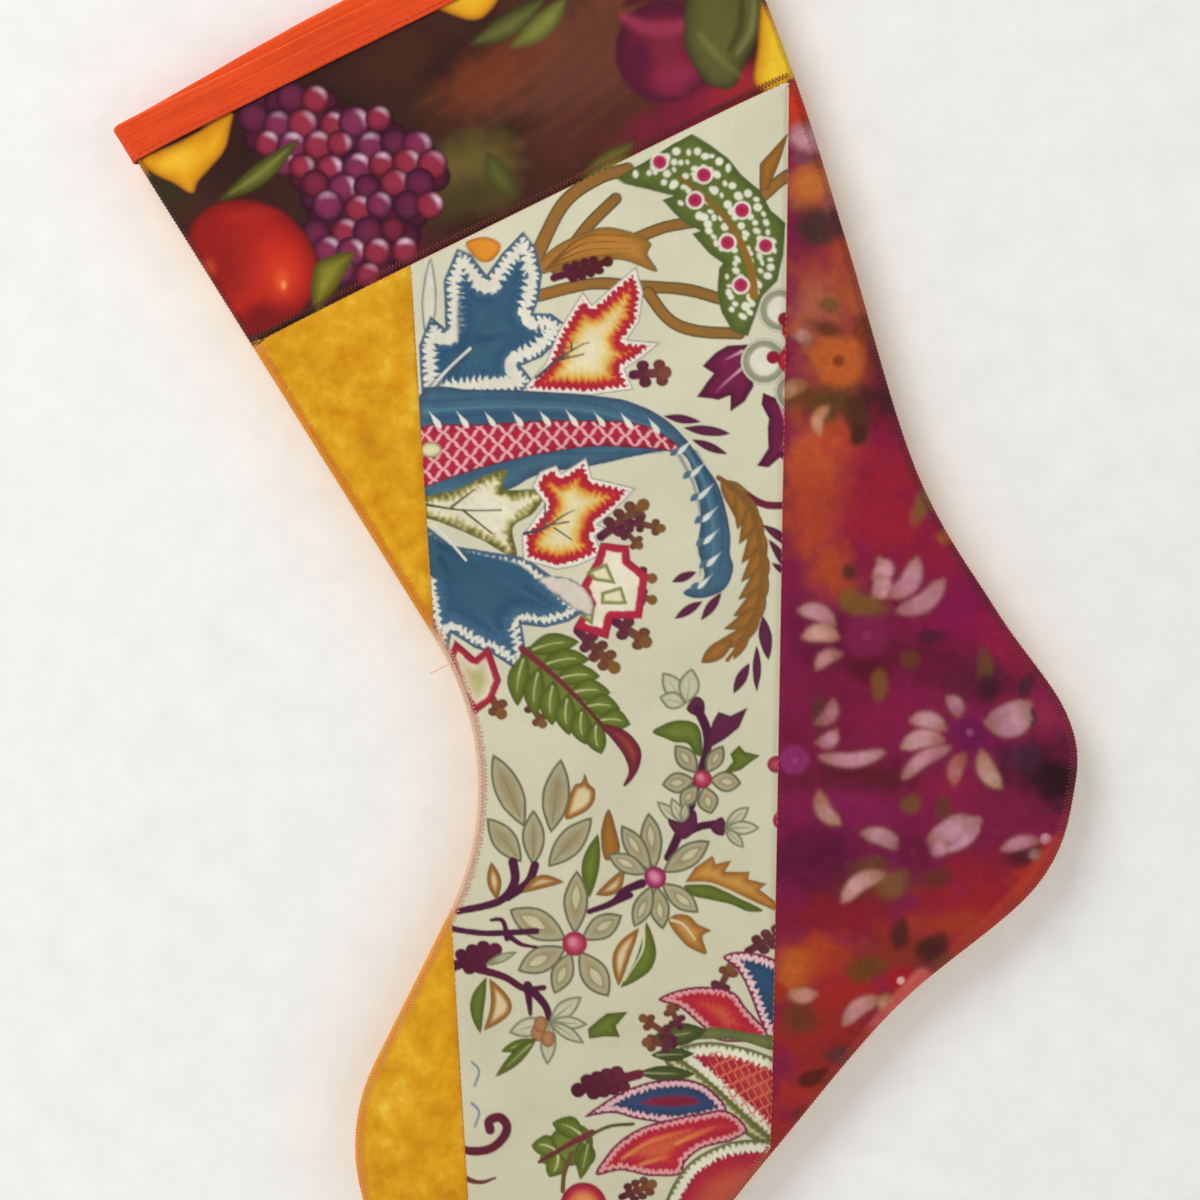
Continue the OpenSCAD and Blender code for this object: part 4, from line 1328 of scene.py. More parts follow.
    # Two open flowers and their branches
    p.line([(59, 218.5), (67, 215.5), (71, 211.5), (77, 209)], 2.8, STEM, (0.7, 1.1))
    p.line([(66, 216), (73, 213)], 2.2, STEM)
    flower(p, (81.5, 207), 3.8, [(264, 22.5, 7.8), (237, 21.5, 7.4), (206, 18, 6.8), (-34, 22.5, 8.2),
                                 (39, 19, 7.4), (82, 18, 7.2), (113, 18.5, 7.0)],
           eye_stops=[(0, "7c2048"), (1.4, "a83868"), (3, "d07c9c")])
    p.blob([(91.5, 208.5), (95, 203.5), (101, 199.5), (102, 202.5), (107.5, 201), (105, 205),
            (113.5, 205), (113, 207.5), (119.5, 209), (117, 211), (122, 215), (124, 219), (117, 216),
            (108, 212), (100, 208.5)],
           [(0, "7c5a2c"), (1.0, "a86c2c"), (3, "c09048")], sharp=True)
    p.blob([(91.5, 209.5), (100, 209.5), (108, 213), (118, 218), (113, 218.5), (107, 216), (100, 214.5),
            (94, 213)],
           LEAF_GREEN)
    p.line([(92, 209), (100, 209), (109, 212.5), (118, 217)], 0.9, "ccc49a", (1, 0.4))
    p.blob([(86, 222), (88.5, 219.5), (93, 220), (96, 223), (100.5, 225), (97.5, 227), (99, 233),
            (93.5, 231), (90, 228)], [(0, "7c5a2c"), (1.2, "a0682c"), (3, "b88848")])
    p.line([(87, 221.5), (91, 223), (95, 228)], 1.1, "d0c094", (1, 0.4))
    p.leaf((76, 224), (69, 244), 6.0, BROWN_CREAM, bend=2.5)
    p.leaf((78.5, 222), (69.5, 244.5), 6.5, LEAF_GREEN, bend=-4.5)
    p.line([(77.5, 224), (77, 232), (71, 242)], 1.0, "ccc69c", (1, 0.4))
    flower(p, (54, 229.5), 4.2, [(272, 25, 8.6), (207, 25, 10.4), (-31, 19, 8.6), (154, 21.5, 9.0),
                                 (112, 18.5, 7.8), (57, 21.5, 9.6)])
    p.line([(12, 225), (24, 226.3), (41, 225.4)], 2.1, STEM)
    p.line([(25.5, 221.8), (29.5, 222), (31, 228)], 1.8, STEM, (0.6, 1.2))
    p.line([(32, 227.5), (36, 230), (41, 230.8)], 1.8, STEM, (1.1, 0.5))
    p.sprig((12, 238), (29, 231), 10, "4c1830", "5e1c36", 3)
    p.line([(21, 238.5), (30, 241), (37, 245), (43.5, 244.6)], 3.2, "561c34", (0.9, 0.6))
    p.line([(38, 244), (39, 253.5)], 2.6, STEM, (1.2, 0.5))
    p.line([(40, 246), (44.5, 251.5), (46, 260)], 2.5, STEM, (1.2, 0.8))
    p.leaf((23.5, 237), (34.5, 232.5), 3.0, SAGE_PALE, vein="8a8a5c")
    p.leaf((24, 241), (22, 260.5), 5.0, LEAF_GREEN, bend=2.2)
    p.leaf((25, 241.5), (23, 259.5), 7.4, BROWN_CREAM, bend=-5.0)
    # A small flower in bud, and leaves on to the sole
    twig(p, (45.5, 256), ((-38, 14, 6.0), (164, 14.5, 6.6), (4, 13, 4.8), (32, 14, 4.6), (93, 15, 5.8)))
    for c in ((41.5, 260), (45, 262), (42.5, 257)):
        p.dot(c, 2.4, [(0, "8a5c38"), (1.4, "a87850")], squash=1.2)
    p.blob([(58.5, 258.5), (62, 255.5), (65, 253), (72.5, 252.5), (68, 257.5), (69.5, 261.3), (64, 261),
            (59, 261.8)],
           LEAF_GREEN, sharp=True)
    twig(p, (41, 262), ((160, 13, 3.8), (145, 12, 3.6), (137, 19, 4.4)), LEAF_GREEN, "98a060")
    for y in (270, 284):
        p.line([(19, y), (21.5, y + 3), (20, y + 8)], 0.8, "7c8696")
    paint_floral_foot(p)
    return p


def paint_floral_foot(p):
    """The large flower at the sole side, and the leaves round it."""
    red_core = [(0, "5c2038"), (0.7, "8a2844"), (1.1, "dca0a4"), (2.0, "d4847c"), (2.6, "a82038"),
                (5, "b42c34"), (8, "c4583a")]
    blue_core = [(0, "6c2040"), (0.8, "84284a"), (1.2, "e0bcbc"), (2.6, "dcb8b8"), (3.2, "28405c"),
                 (8, "2f5472")]
    scaly = [(0, "585c34"), (1.0, "74764a"), (1.8, "d8d4b8"), (4.0, "dcd8c4"), (4.6, "9c2038"),
             (8, "ac2c38"), (13, "b8503c")]
    p.sprig((113, 232), (128, 224), 8, "5a2030", "6c4a34", 3)
    p.sprig((102, 247), (108, 236), 7, pairs=2)
    p.blob([(82.5, 248.5), (90, 245), (98, 244), (108, 246), (113, 252), (122, 262.5), (112, 263),
            (103, 262.5), (97, 257.5), (90, 251.5)], red_core, feather=1.2)
    p.blob([(104.5, 234), (111, 232), (120, 234), (128, 238), (140, 240), (140, 268), (124, 266.5),
            (118, 258), (113, 245), (109, 238)], blue_core, feather=1.4)
    p.blob([(86, 263), (100, 262), (112, 263), (126, 268), (140, 272), (140, 262), (120, 261), (100, 258)],
           [(0, "565e34"), (2, "6a7040")], jag=0.4)
    p.blob([(88, 267), (98, 263), (112, 265), (126, 270), (140, 274), (140, 312), (122, 298), (112, 289),
            (101, 279)],
           scaly, feather=1.4)
    p.net([(100, 266), (116, 270), (138, 282), (138, 306), (118, 292), (104, 279)], [(98, 272), (140, 295)],
          4.4, "cc6c50", 0.09)
    p.blob([(84, 267.5), (92, 270), (103, 279), (113, 289), (122, 297.5), (117, 298), (107, 291),
            (98, 282), (88, 274)],
           [(0, "5c5c34"), (1.4, "74743e"), (2.4, "c8c49c")], feather=1.0)
    for a, b, w in (((80, 262), (99, 259), 8.0), ((80, 267.5), (95, 267), 4.6),
                    ((75, 273.5), (95, 274), 5.4)):
        p.leaf(a, b, w, [(0, "3e4422"), (2, "4a522a"), (4, "5e6834")], vein="8c9460")
    for a, b in (((88, 262), (76, 254)), ((90, 258), (86, 250)), ((88, 264), (77, 263))):
        p.sprig(a, b, 6.5, pairs=2)
    p.sprig((76, 274), (53, 280), 10, "6c2436", "4c1c2c", 4)
    p.blob([(57.5, 288.5), (64, 283.5), (71, 279.5), (80, 276.5), (90, 275.5), (99, 278), (106, 286),
            (100, 289), (88, 291), (76, 289.5), (68, 287.5), (62, 287.8)],
           [(0, "5c2036"), (0.7, "702844"), (1.1, "dcb0b4"), (2.2, "d4a8ac"), (2.8, "2c3c58"),
            (5.4, "34466a"), (6.2, "7c2038")], feather=1.1)
    p.blob([(61.5, 308.5), (63.5, 303.5), (69, 297), (77, 292), (86, 289.5), (96, 287.5), (106, 286.5),
            (113, 293), (108, 297), (98, 299.5), (92, 304), (90, 308.5), (80, 309), (70, 307)], red_core,
           feather=1.3)
    for pts in ([(70, 303), (80, 297), (94, 293)], [(76, 305), (86, 302)], [(88, 298), (102, 292)]):
        p.line(pts, 1.4, "dc9450 c85838", None, soft=0.7, alpha=0.8)
    p.blob([(84, 320), (90, 308), (98, 301), (110, 297), (124, 297.5), (140, 300), (140, 330), (84, 330)],
           scaly, feather=1.4)
    p.sprig((70, 316), (82, 311), 8, "541c30", "7c5030", 3)
    palm(p, (60, 294), (42, 304), 2, 13)
    p.leaf((59, 296), (56, 310), 5, LEAF_GREEN, vein="98a060")
    p.line([(59, 295), (66, 291.8), (74, 291)], 1.2, "564c28")
    p.line([(53, 301), (50.5, 308), (50, 314)], 1.6, "6a4a2c")
    p.line([(10, 298.5), (18, 300.3), (25, 299.6), (29.5, 296), (31, 291.8), (28.5, 288.8), (25, 290),
            (25.3, 293)],
           3.2, "5e2030", (0.9, 1.0))
    p.line([(17, 310), (22, 311), (27, 309.5)], 2.2, "6a3430", (1, 0.4))
    p.dot((57, 319), 8, [(0, "7c1c34"), (2, "b02c3c"), (5, "d88a50")])
    # Past the sole: the same flowers and leaves again, on to the tip
    flower(p, (30, 338), 3.6, [(k * 60 + 20, 17, 7.4) for k in range(6)])
    p.leaf((46, 330), (60, 342), 6, LEAF_GREEN, vein="a4a662")
    p.leaf((60, 330), (76, 338), 5.4, BROWN)
    p.leaf((84, 334), (104, 338), 6.0, MAROON)
    p.sprig((6, 322), (15, 314), 8)
    p.line([(30, 342), (40, 356), (60, 362)], 2.4, STEM)


def grape(p, c, r, rng, shade):
    """A grape with a dark foot and a bright crescent where the light falls. shade runs from 0 to 1."""
    red = rng.uniform() < 0.35
    rim, body = ("42101e", "8c2a3e") if red else ("380f28", "742a4c")
    rim, body = hex_mix("240a14", rim, shade), hex_mix("3c1226", body, shade)
    p.dot(c, r, [(0, rim), (0.8, hex_mix(rim, body, 0.45)), (2.2, body),
                 (r, hex_mix(body, "a83450", 0.35 * shade))], soft=0.45)
    if shade < 0.7:
        return
    middle = rng.uniform(-95, -10)
    arc = [towards(c, middle + k, r * 0.68) for k in (-60, -30, 0, 30, 60)]
    p.line(arc, r * 0.34, "94486c d8a8c0 ecd0de cc94b0 8c4064", None, soft=1.0, alpha=rng.uniform(0.25, 0.9))


def paint_cuff():
    p = Print(-8, -140, 245, 92, "3a1f18", 17)
    glow = 0.5 + 0.5 * value_noise(p.hand.shape, 70, p.rng)[..., None]
    p.rgb[:] = hex_rgb("2c1713") * (1 - glow) + hex_rgb("40241b") * glow
    # Old wood and shadow, out of focus
    for c, rx, ry, turn, code, a in (((158, -20), 34, 26, -30, "64382a", 0.95),
                                     ((128, -18), 24, 11, -32, "78381c", 0.8),
                                     ((160, 2), 26, 14, -25, "54281e", 0.9),
                                     ((130, 3), 15, 4, -25, "2c1410", 0.85),
                                     ((96, -24), 22, 9, -25, "4a261c", 0.8),
                                     ((176, -52), 30, 20, 0, "6e3e28", 0.9),
                                     ((122, 15), 17, 13, -20, "685a28", 0.9),
                                     ((118, 24), 16, 7, -28, "443a1e", 0.9),
                                     ((196, -6), 26, 9, -27, "7c1c34", 0.95),
                                     ((212, -14), 16, 5, -27, "a02830", 0.8),
                                     ((14, 22), 12, 8, 30, "34301a", 0.9),
                                     ((20, 40), 9, 18, -28, "4a1a18", 0.9),
                                     ((70, 50), 16, 10, -25, "3c1424", 0.9),
                                     ((96, 44), 14, 8, -25, "581a2a", 0.85),
                                     ((56, 76), 16, 6, -25, "4c2c1c", 0.8),
                                     ((150, 30), 20, 8, -25, "5a1e20", 0.7)):
        p.dab(c, rx, ry, turn, code, 0.75, a, 0.3)
    for k in range(7):
        x = 112 + 9 * k
        p.line([(x - 12, -6 + 1.5 * k), (x + 8, -18 + k), (x + 26, -34 + k)], 1.2 + 0.8 * (k % 3),
               "7c482e", None, soft=1.6, alpha=0.22)
    # Along the mouth and the heel side: lemons, leaves and a plum, in soft focus
    p.blob([(104, -43), (112, -39), (120, -36.5), (126, -38.5), (130, -46), (118, -54), (106, -52)],
           [(0, "a86414"), (2, "dc9c18"), (6, "e8b428")], soft=0.6)
    for a, b, w, low, high in (((120, -28), (146, -44), 8, "3c3c1c", "6a6c34"),
                               ((134, -27), (153, -44), 8, "585a24", "84843c"),
                               ((158, 17), (176, 5), 8, "4c4a1c", "74762c"),
                               ((126, 8), (136, 24), 8, "42421c", "5c5c28"),
                               ((150, -60), (172, -74), 8, "4a4418", "6e6a28"),
                               ((196, -66), (214, -82), 8, "4a4418", "6e6a28")):
        p.leaf(a, b, w, [(0, low), (2, hex_mix(low, high, 0.6)), (4, high)], soft=1.1, bend=1.5)
    p.dot((186, -26), 16.5, [(0, "4c1428"), (3, "561830"), (7, "6e1c30"), (13, "7c2236")], squash=1.06,
          soft=1.2)
    p.line([(172, -38), (180, -34), (190, -34), (200, -38)], 5, "a03450", None, soft=2.0, alpha=0.75)
    p.line([(173, -42), (184, -46), (197, -43)], 5, "48122a", None, soft=1.6, alpha=0.85)
    p.dab((178, -24), 5, 9, 10, "521634", 0.8, 0.8)
    p.dab((191, -17), 9, 6, -20, "9c2c4c", 0.8, 0.6)
    p.blob([(197, -50), (218, -50), (221, -38), (214, -22), (210, -14), (203, -14), (197, -20), (193, -31)],
           [(0, "3a381c"), (2.4, "54502a"), (7, "605c2c")], soft=0.8)
    p.line([(198, -32), (205, -24), (212, -18)], 2.6, "7c8046 6c7038", None, soft=1.4, alpha=0.6)
    p.line([(213, -46), (212, -34), (208, -26)], 2.4, "3a3e1c", None, soft=1.0, alpha=0.8)
    p.line([(217, -46), (216, -34), (211, -25)], 1.8, "848a50", None, soft=1.2, alpha=0.6)
    p.blob([(221, -48), (231, -32), (234, -20), (226, -13), (217, -15), (218, -28)],
           [(0, "8c4c14"), (1.6, "d89818"), (5, "f0c42c")], soft=0.7)
    for c, r in (((150, -86), 12), ((176, -100), 11), ((206, -108), 9)):
        p.dot(c, r, [(0, "4c1418"), (3, "8c2024"), (8, "b4342c")], soft=0.8)
    # Grapes, the ones behind in the dark and the front ones catching the light
    rng = np.random.default_rng(8)
    bunch = np.array([(40, -9), (60, -14), (84, -9), (100, 0), (113, 8), (114, 26), (104, 36), (98, 52),
                      (84, 56), (70, 48), (60, 34), (62, 20), (44, 10)], float)
    for pitch, shade in ((7.4, 0.25), (8.6, 1.0)):
        for row in range(-3, 9):
            for col in range(-1, 12):
                c = (38 + (col + 0.5 * (row % 2)) * pitch + rng.uniform(-1.4, 1.4),
                     -2 + row * pitch * 0.86 + rng.uniform(-1.4, 1.4))
                r = 5.0 + rng.uniform(-0.5, 0.6)
                inside = signed(bunch, np.array([[c[0]]]), np.array([[c[1]]]))[0][0, 0]
                if inside > r * 0.5:
                    grape(p, c, r, rng, shade * rng.choice((1.0, 1.0, 1.0, 0.62)) if shade > 0.5 else shade)
    # The apple
    p.blob([(24, 36), (28, 29), (37, 25), (48, 25), (57, 29), (64, 36), (68, 44), (68.5, 51), (66, 58),
            (60, 64), (48, 69.5), (40, 71), (32, 66), (25, 50)],
           [(0, "6c1414"), (1.5, "8c1a18"), (6, "ac2018"), (14, "b8281c")], soft=0.6)
    for c, rx, ry, turn, code, a in (((34, 46), 12, 20, 20, "841818", 0.75),
                                     ((48, 64), 15, 5, -20, "6a1216", 0.8),
                                     ((56, 49), 8.5, 12, -10, "c42c1c", 0.9),
                                     ((56, 51), 5.6, 8.0, 0, "d03a20", 0.9),
                                     ((56, 52.5), 2.6, 4.0, 0, "de5a2c", 0.8),
                                     ((56.5, 53.5), 1.1, 1.6, 0, "f09858", 0.85),
                                     ((30, 48), 3, 4, 20, "c8482c", 0.8),
                                     ((45, 30), 9, 2.6, -4, "b02820", 0.7)):
        p.dab(c, rx, ry, turn, code, 0.85, a, 0.15)
    # The lemon, its leaf and the small one under the grapes
    p.blob([(9, 13), (9, 10), (20, 5.5), (30, 0.5), (39, -4.8), (38.4, 1), (36.3, 8), (31.5, 13.8),
            (27.3, 18.0), (25.0, 22.0), (19, 18.6), (13.5, 16)],
           [(0, "a86410"), (1.4, "d08c10"), (4, "e4a41c"), (8, "ecb42c")], soft=0.5)
    p.dab((31, 3), 3, 8, 35, "d88c10", 0.8, 0.6)
    p.dab((20, 11), 7, 3.4, -25, "f2c234", 0.9, 0.7)
    p.leaf((34, 25), (62, 4), 7.0, [(0, "3c3a18"), (1.6, "56581f"), (3, "6c6e2c")], bend=1.6, soft=0.6)
    p.line([(38, 22.5), (48, 16), (58, 7.5)], 1.0, "7c8038", None, soft=0.5, alpha=0.7)
    p.blob([(68, 46), (80, 42.5), (77.5, 50), (69, 62), (66, 58)],
           [(0, "4a4414"), (2, "6c661c"), (4, "8c8428")], soft=0.6)
    return p


def paint_batik():
    p = Print(-12, -8, 104, 392, "741838", 29)
    h = p.hand[..., None]
    p.rgb[:] = hex_rgb("861a4c") * (0.5 + 0.5 * h) + hex_rgb("70163c") * (0.5 - 0.5 * h)
    # Broad washes of dye, from orange at the mouth through crimson and magenta to red at the toe
    washes = [((8, 4), 13, 12, "c05a22"), ((5, 32), 10, 10, "c47028"), ((16, 34), 8, 12, "b88078"),
              ((17, 56), 10, 14, "b85028"), ((6, 64), 10, 9, "a44434"), ((6, 76), 9, 12, "b4684c"),
              ((20, 70), 10, 10, "b86030"), ((13, 93), 16, 16, "b8602c"), ((28, 92), 8, 14, "6e2226"),
              ((10, 106), 16, 7, "6a431e"), ((27, 107), 9, 9, "4c1c26"), ((6, 126), 11, 14, "c05a2c"),
              ((14, 122), 9, 9, "c4562a"), ((34, 130), 22, 16, "9c1e38"), ((6, 148), 12, 18, "b44a28"),
              ((30, 150), 22, 14, "a01e36"), ((10, 166), 9, 12, "b04a24"), ((48, 160), 12, 10, "981c3c"),
              ((56, 178), 18, 13, "88104c"), ((74, 190), 14, 18, "9c1c44"), ((10, 188), 12, 14, "6a1240"),
              ((36, 194), 22, 9, "661434"), ((62, 202), 16, 9, "5e1a36"), ((14, 210), 18, 11, "74163c"),
              ((34, 214), 18, 10, "861848"), ((78, 214), 14, 8, "962a4c"), ((58, 222), 16, 12, "7c1850"),
              ((22, 236), 26, 7, "5c1a26"), ((16, 246), 20, 8, "881c56"), ((50, 240), 12, 10, "8c1c48"),
              ((82, 233), 15, 12, "3a1624"), ((70, 246), 12, 7, "7c1c40"), ((6, 262), 18, 14, "5c1238"),
              ((38, 262), 20, 9, "741848"), ((66, 268), 20, 9, "8c1c30"), ((30, 272), 18, 7, "6e3026"),
              ((60, 278), 26, 10, "9c2028"), ((80, 268), 10, 12, "b03428"), ((14, 284), 22, 9, "8a1c26"),
              ((50, 286), 22, 6, "a43a24"), ((8, 296), 16, 9, "b04420"), ((30, 296), 16, 7, "8c3420"),
              ((-2, 303), 8, 8, "c06824"), ((14, 308), 16, 10, "a42820"), ((4, 322), 16, 12, "9c2c20"),
              ((18, 330), 12, 8, "8c2424"), ((4, 342), 12, 9, "a83024"), ((-2, 362), 12, 14, "a02c1c"),
              ((0, 3), 6, 8, "d23616"), ((2, 32), 8, 6, "d07a36"), ((2, 17.5), 5, 5, "d4a4ac")]
    for c, rx, ry, code in washes:
        p.dab(c, rx, ry, 0, code, 0.8, 0.95, 0.45)
    # Darker stamps: leaves and shadows
    for c, rx, ry, turn, code in (((1, 23.5), 4, 2.6, 0, "7c4c5c"), ((6, 47), 8, 7.5, 0, "43342c"),
                                  ((13, 44), 3, 7, 0, "5e2c30"), ((10, 74), 4, 3, 0, "7a5a30"),
                                  ((9, 82), 7, 3.4, 20, "683a1c"), ((22, 82), 5, 5, 0, "7c3c1c"),
                                  ((19, 112), 4, 8, -20, "54341c"), ((20, 118), 3.4, 4, 0, "47241c"),
                                  ((9, 109), 5, 5, 0, "5e441e"), ((42, 142), 3.6, 7, 20, "8a6034"),
                                  ((50, 153), 3.4, 3, 0, "b86428"), ((16.5, 165), 3, 3, 0, "54301c"),
                                  ((20, 176), 9, 4.5, 15, "7c5c22"), ((23, 198), 7, 5, 0, "5a1024"),
                                  ((37, 195), 4, 4, 0, "6a4020"), ((27, 203), 3, 5.4, 0, "7a5428"),
                                  ((44, 187), 7, 2.6, 0, "521c30"), ((63, 197), 3, 6, 0, "6a4a2c"),
                                  ((64, 205), 4, 5, 0, "42182a"), ((77, 204), 3, 5, 25, "4a2434"),
                                  ((78, 214), 3, 3, 0, "4a3040"), ((6, 212), 3, 9, 0, "5e3030"),
                                  ((88, 236), 7, 8, 0, "2c1018"), ((76, 228), 6, 6, 20, "46243a"),
                                  ((37.6, 244), 4, 4, 0, "74552c"), ((48.5, 246), 3, 5, 0, "6a3a2a"),
                                  ((25, 265), 8, 4, 0, "6a4426"), ((32, 271), 6, 6, 30, "7c5a34"),
                                  ((46, 269), 6, 4, 0, "66301e"), ((76, 262), 8, 4.4, -15, "4a1a28"),
                                  ((34, 288), 3.4, 6, 0, "4c2022"), ((45.5, 293), 6, 4.6, -40, "42201a"),
                                  ((56, 293), 6, 3, -20, "54281a"), ((50, 299), 6, 3.4, -35, "6a4420"),
                                  ((22, 300), 8, 4.4, -10, "6a4418"), ((0, 317), 6, 6, 0, "6e3a20"),
                                  ((14, 330), 5, 3, 0, "5a3234"), ((5, 338), 7, 3, -10, "4c1c14"),
                                  ((2, 350), 5, 3, -30, "4a2020")):
        p.dab(c, rx, ry, turn, code, 0.55, 0.9, 0.35)
    # Blooms: a round of dye with a spot in the middle, and pale petals where wax kept the dye out.
    # Each petal has its direction, its inner and outer reach and its width.
    blooms = [((13, 93), 9.5, "c4662c", "7a3818", ((214, 12, 17, 4, "b48478"), (110, 16, 26, 3, "c89468"),
                                                   (150, 14, 22, 4, "a87848"))),
              ((22.4, 186.6), 8, "80204c", "8c3058",
               ((285, 20, 26, 5.4, "d8a0ac"), (288, 14, 20.5, 5.6, "cc949c"),
                (309, 16, 31, 5.6, "cc92a4"), (330, 14, 32, 5.2, "c48c9c"), (206, 12, 24, 4.6, "cc98a0"),
                (184, 10, 21, 5, "d0a090"), (152, 11, 20, 3.6, "c08c84"))),
              ((57.7, 219.6), 6, "701450", "94507a",
               ((340, 7, 22, 8.4, "c494a8"), (352, 8, 21, 6, "c090a2"), (243, 7, 14, 4, "b07c90"),
                (197, 9, 20, 4.8, "c4949c"), (173, 10, 23, 5.2, "cc9ea0"), (151, 9, 27, 3.8, "c890a0"),
                (112, 8, 18, 4.2, "b0645c"), (66, 8, 21, 5.0, "b8947c"))),
              ((38.5, 260), 6.6, "70163e", "7c2048",
               ((205, 5, 18, 4.6, "c09098"), (340, 6, 24, 8.8, "c89ab0"), (330, 8, 20, 6, "c496aa"),
                (355, 5, 12, 4, "b88498"), (150, 13, 29, 4.8, "cc9c94"))),
              ((-2, 229), 5, "90306c", "a04078",
               ((0, 9, 30, 3.8, "c892a4"), (330, 10, 17, 4, "bc8494"), (308, 15, 24, 3.6, "b0787c"),
                (60, 14, 26, 4.2, "b89078"))),
              ((34.5, 304.5), 5.6, "a01c28", "ecc0c0",
               ((148, 10, 24, 4.6, "c8948c"), (128, 6, 12, 3, "a88054"))),
              ((-8, 308), 4, "a03020", "a03020", ((8, 4, 13, 4.2, "c89478"),)),
              ((84, 256), 2, "c48c9c", "d8a8b4", ((172, 3, 15, 3.4, "c88ca0"), (120, 5, 8, 3.6, "947470")))]
    for c, r, code, spot, petals in blooms:
        for deg, near, far, width, pale in petals:
            pts = [towards(c, deg - 7, near), towards(c, deg, (near + far) / 2), towards(c, deg - 5, far)]
            p.line(pts, width + 2.0, hex_mix(pale, "7a4a30", 0.75), None, soft=2.0, alpha=0.4)
            codes = " ".join((hex_mix(pale, "8a5c34", 0.55), pale, hex_mix(pale, "e8c4c8", 0.3),
                              hex_mix(pale, "907038", 0.35)))
            p.line(pts, width + 0.8, codes, None, soft=1.2, alpha=0.95, patchy=0.3)
        p.dab(c, r, r * 0.95, 0, code, 0.35, 0.95, 0.25)
        p.dab(c, r * 0.24, r * 0.24, 0, spot, 0.5, 0.85, 0.1)
    # Painted highlight: brighter colour along the sole's edge, where the rounded edge catches the light
    for pts, w, code in (([(92, 214), (96, 228), (94, 244), (88, 258)], 4, "a83048"),
                         ([(88, 258), (78, 272), (66, 284), (54, 294)], 6, "b8402c"),
                         ([(42, 304), (34, 313), (27, 321)], 7, "e4786c"),
                         ([(24, 322), (16, 333)], 4, "b0402c"),
                         ([(12, 336), (4, 348), (-4, 360)], 4, "a83820")):
        p.line(pts, w, code, soft=1.6, alpha=0.75)
    p.rgb = np.clip(p.rgb * (0.96 + 0.13 * p.ragged[..., None]) * (0.92, 0.8, 0.8), 0, 1)
    return p


FRUIT_PLAN = paint_cuff()
BATIK_PLAN = paint_batik()
paint_floral().wear_on("floral")
FRUIT_PLAN.wear_on("cuff")
BATIK_PLAN.wear_on("batik")


def edge_colours(u, thread):
    """Colour along the sewn edge, of its thread or of the turned cloth under it."""
    if thread:
        stops = [(0, "301811"), (U_CUFF - 2, "341a12"), (U_CUFF + 1, "f2a058"), (U_CUFF + 9, "e8862a"),
                 (U_ANKLE0 - 6, "e8862a"), (U_ANKLE0 + 8, "dca08c"), (U_ANKLE1 - 10, "dca088"),
                 (U_ANKLE1 + 4, "ec9a58"), (U_ANKLE1 + 60, "f0a050"), (U_CREAM1 - 5, "e8803a"),
                 (U_CREAM1 + 8, "c86a50"), (U_BATIK - 6, "c05a48"), (U_BATIK + 6, "b8402c"),
                 (U_HEEL - 120, "c04838"), (U_HEEL - 20, "a83038"), (U_HEEL + 40, "5a1830"),
                 (U_CUFF2 - 4, "582028"), (U_CUFF2 + 2, "361a14"), (EDGE.length, "301811")]
    else:
        stops = [(0, "2a1712"), (U_CUFF, "3a1a12"), (U_CUFF + 2, "d8901c"), (U_ANKLE0 - 4, "d08a1c"),
                 (U_ANKLE0 + 4, "d8b8a0"), (U_ANKLE1 - 4, "d8b8a0"), (U_ANKLE1 + 4, "dc9430"),
                 (U_CREAM1 - 4, "d08a20"), (U_CREAM1 + 4, "b0603c"), (U_BATIK - 4, "a04a34"),
                 (U_BATIK + 4, "a03426"), (U_HEEL - 110, "b83c28"), (U_HEEL - 20, "8a2430"),
                 (U_HEEL + 50, "4a1026"), (U_CUFF2 - 3, "4a1622"), (EDGE.length, "2a1712")]
    pos = [a for a, _ in stops]
    rgb = hex_rgb(*[c for _, c in stops])
    colour = np.stack([np.interp(u, pos, rgb[:, i]) for i in range(3)], -1)
    near = EDGE.at(u, np.full(len(u), 1.8))
    on_cuff = (u < U_CUFF) | (u > U_CUFF2)
    for key, plan, on in (("cuff", FRUIT_PLAN, on_cuff), ("batik", BATIK_PLAN,
                                                          (u > U_BATIK) & (u < U_CUFF2))):
        x, y = plan_xy(near[on, 0], near[on, 1], key)
        colour[on] = colour[on] * 0.25 + plan.sample(x, y) * 0.75
    return colour


def paint_edge():
    """The turned edge and its stitches, with the back half of the turned edge in the back's colour."""
    for ob, u, repeat, thread in EDGE_PAINTED:
        colour = np.repeat(edge_colours(u, thread), repeat, axis=0)
        if not thread:
            behind = smoothstep(0.1, 0.9, np.tile(RIM_DEPTH, len(u)))[:, None]
            colour = colour * (1 - behind) + hex_rgb("cc8a18") * behind
        set_paint(ob, colour)


paint_edge()


def paint_binding():
    """The binding and tape: the binding is brighter where the fold stands up, a painted highlight for light
    from above, and deeper on the flat face.
    """
    face, fold_highlight_rgb = hex_rgb("d9441e"), hex_rgb("f45a20")
    j = np.arange(len(mouth_binding.data.vertices)) % BIND_M
    # painted highlight: the fold's top and inside are lighter than the flat face, as if lit from above
    painted_fold_highlight = smoothstep(6, 10, j)[:, None] * np.ones((1, 3))
    set_paint(mouth_binding, face * (1 - painted_fold_highlight) + fold_highlight_rgb * painted_fold_highlight)
    for ob in (tape_top, *tape_tails):
        set_paint(ob, np.broadcast_to(hex_rgb("e04e20"), (len(ob.data.vertices), 3)))


paint_binding()

# ---------------------------------------------------------------- materials


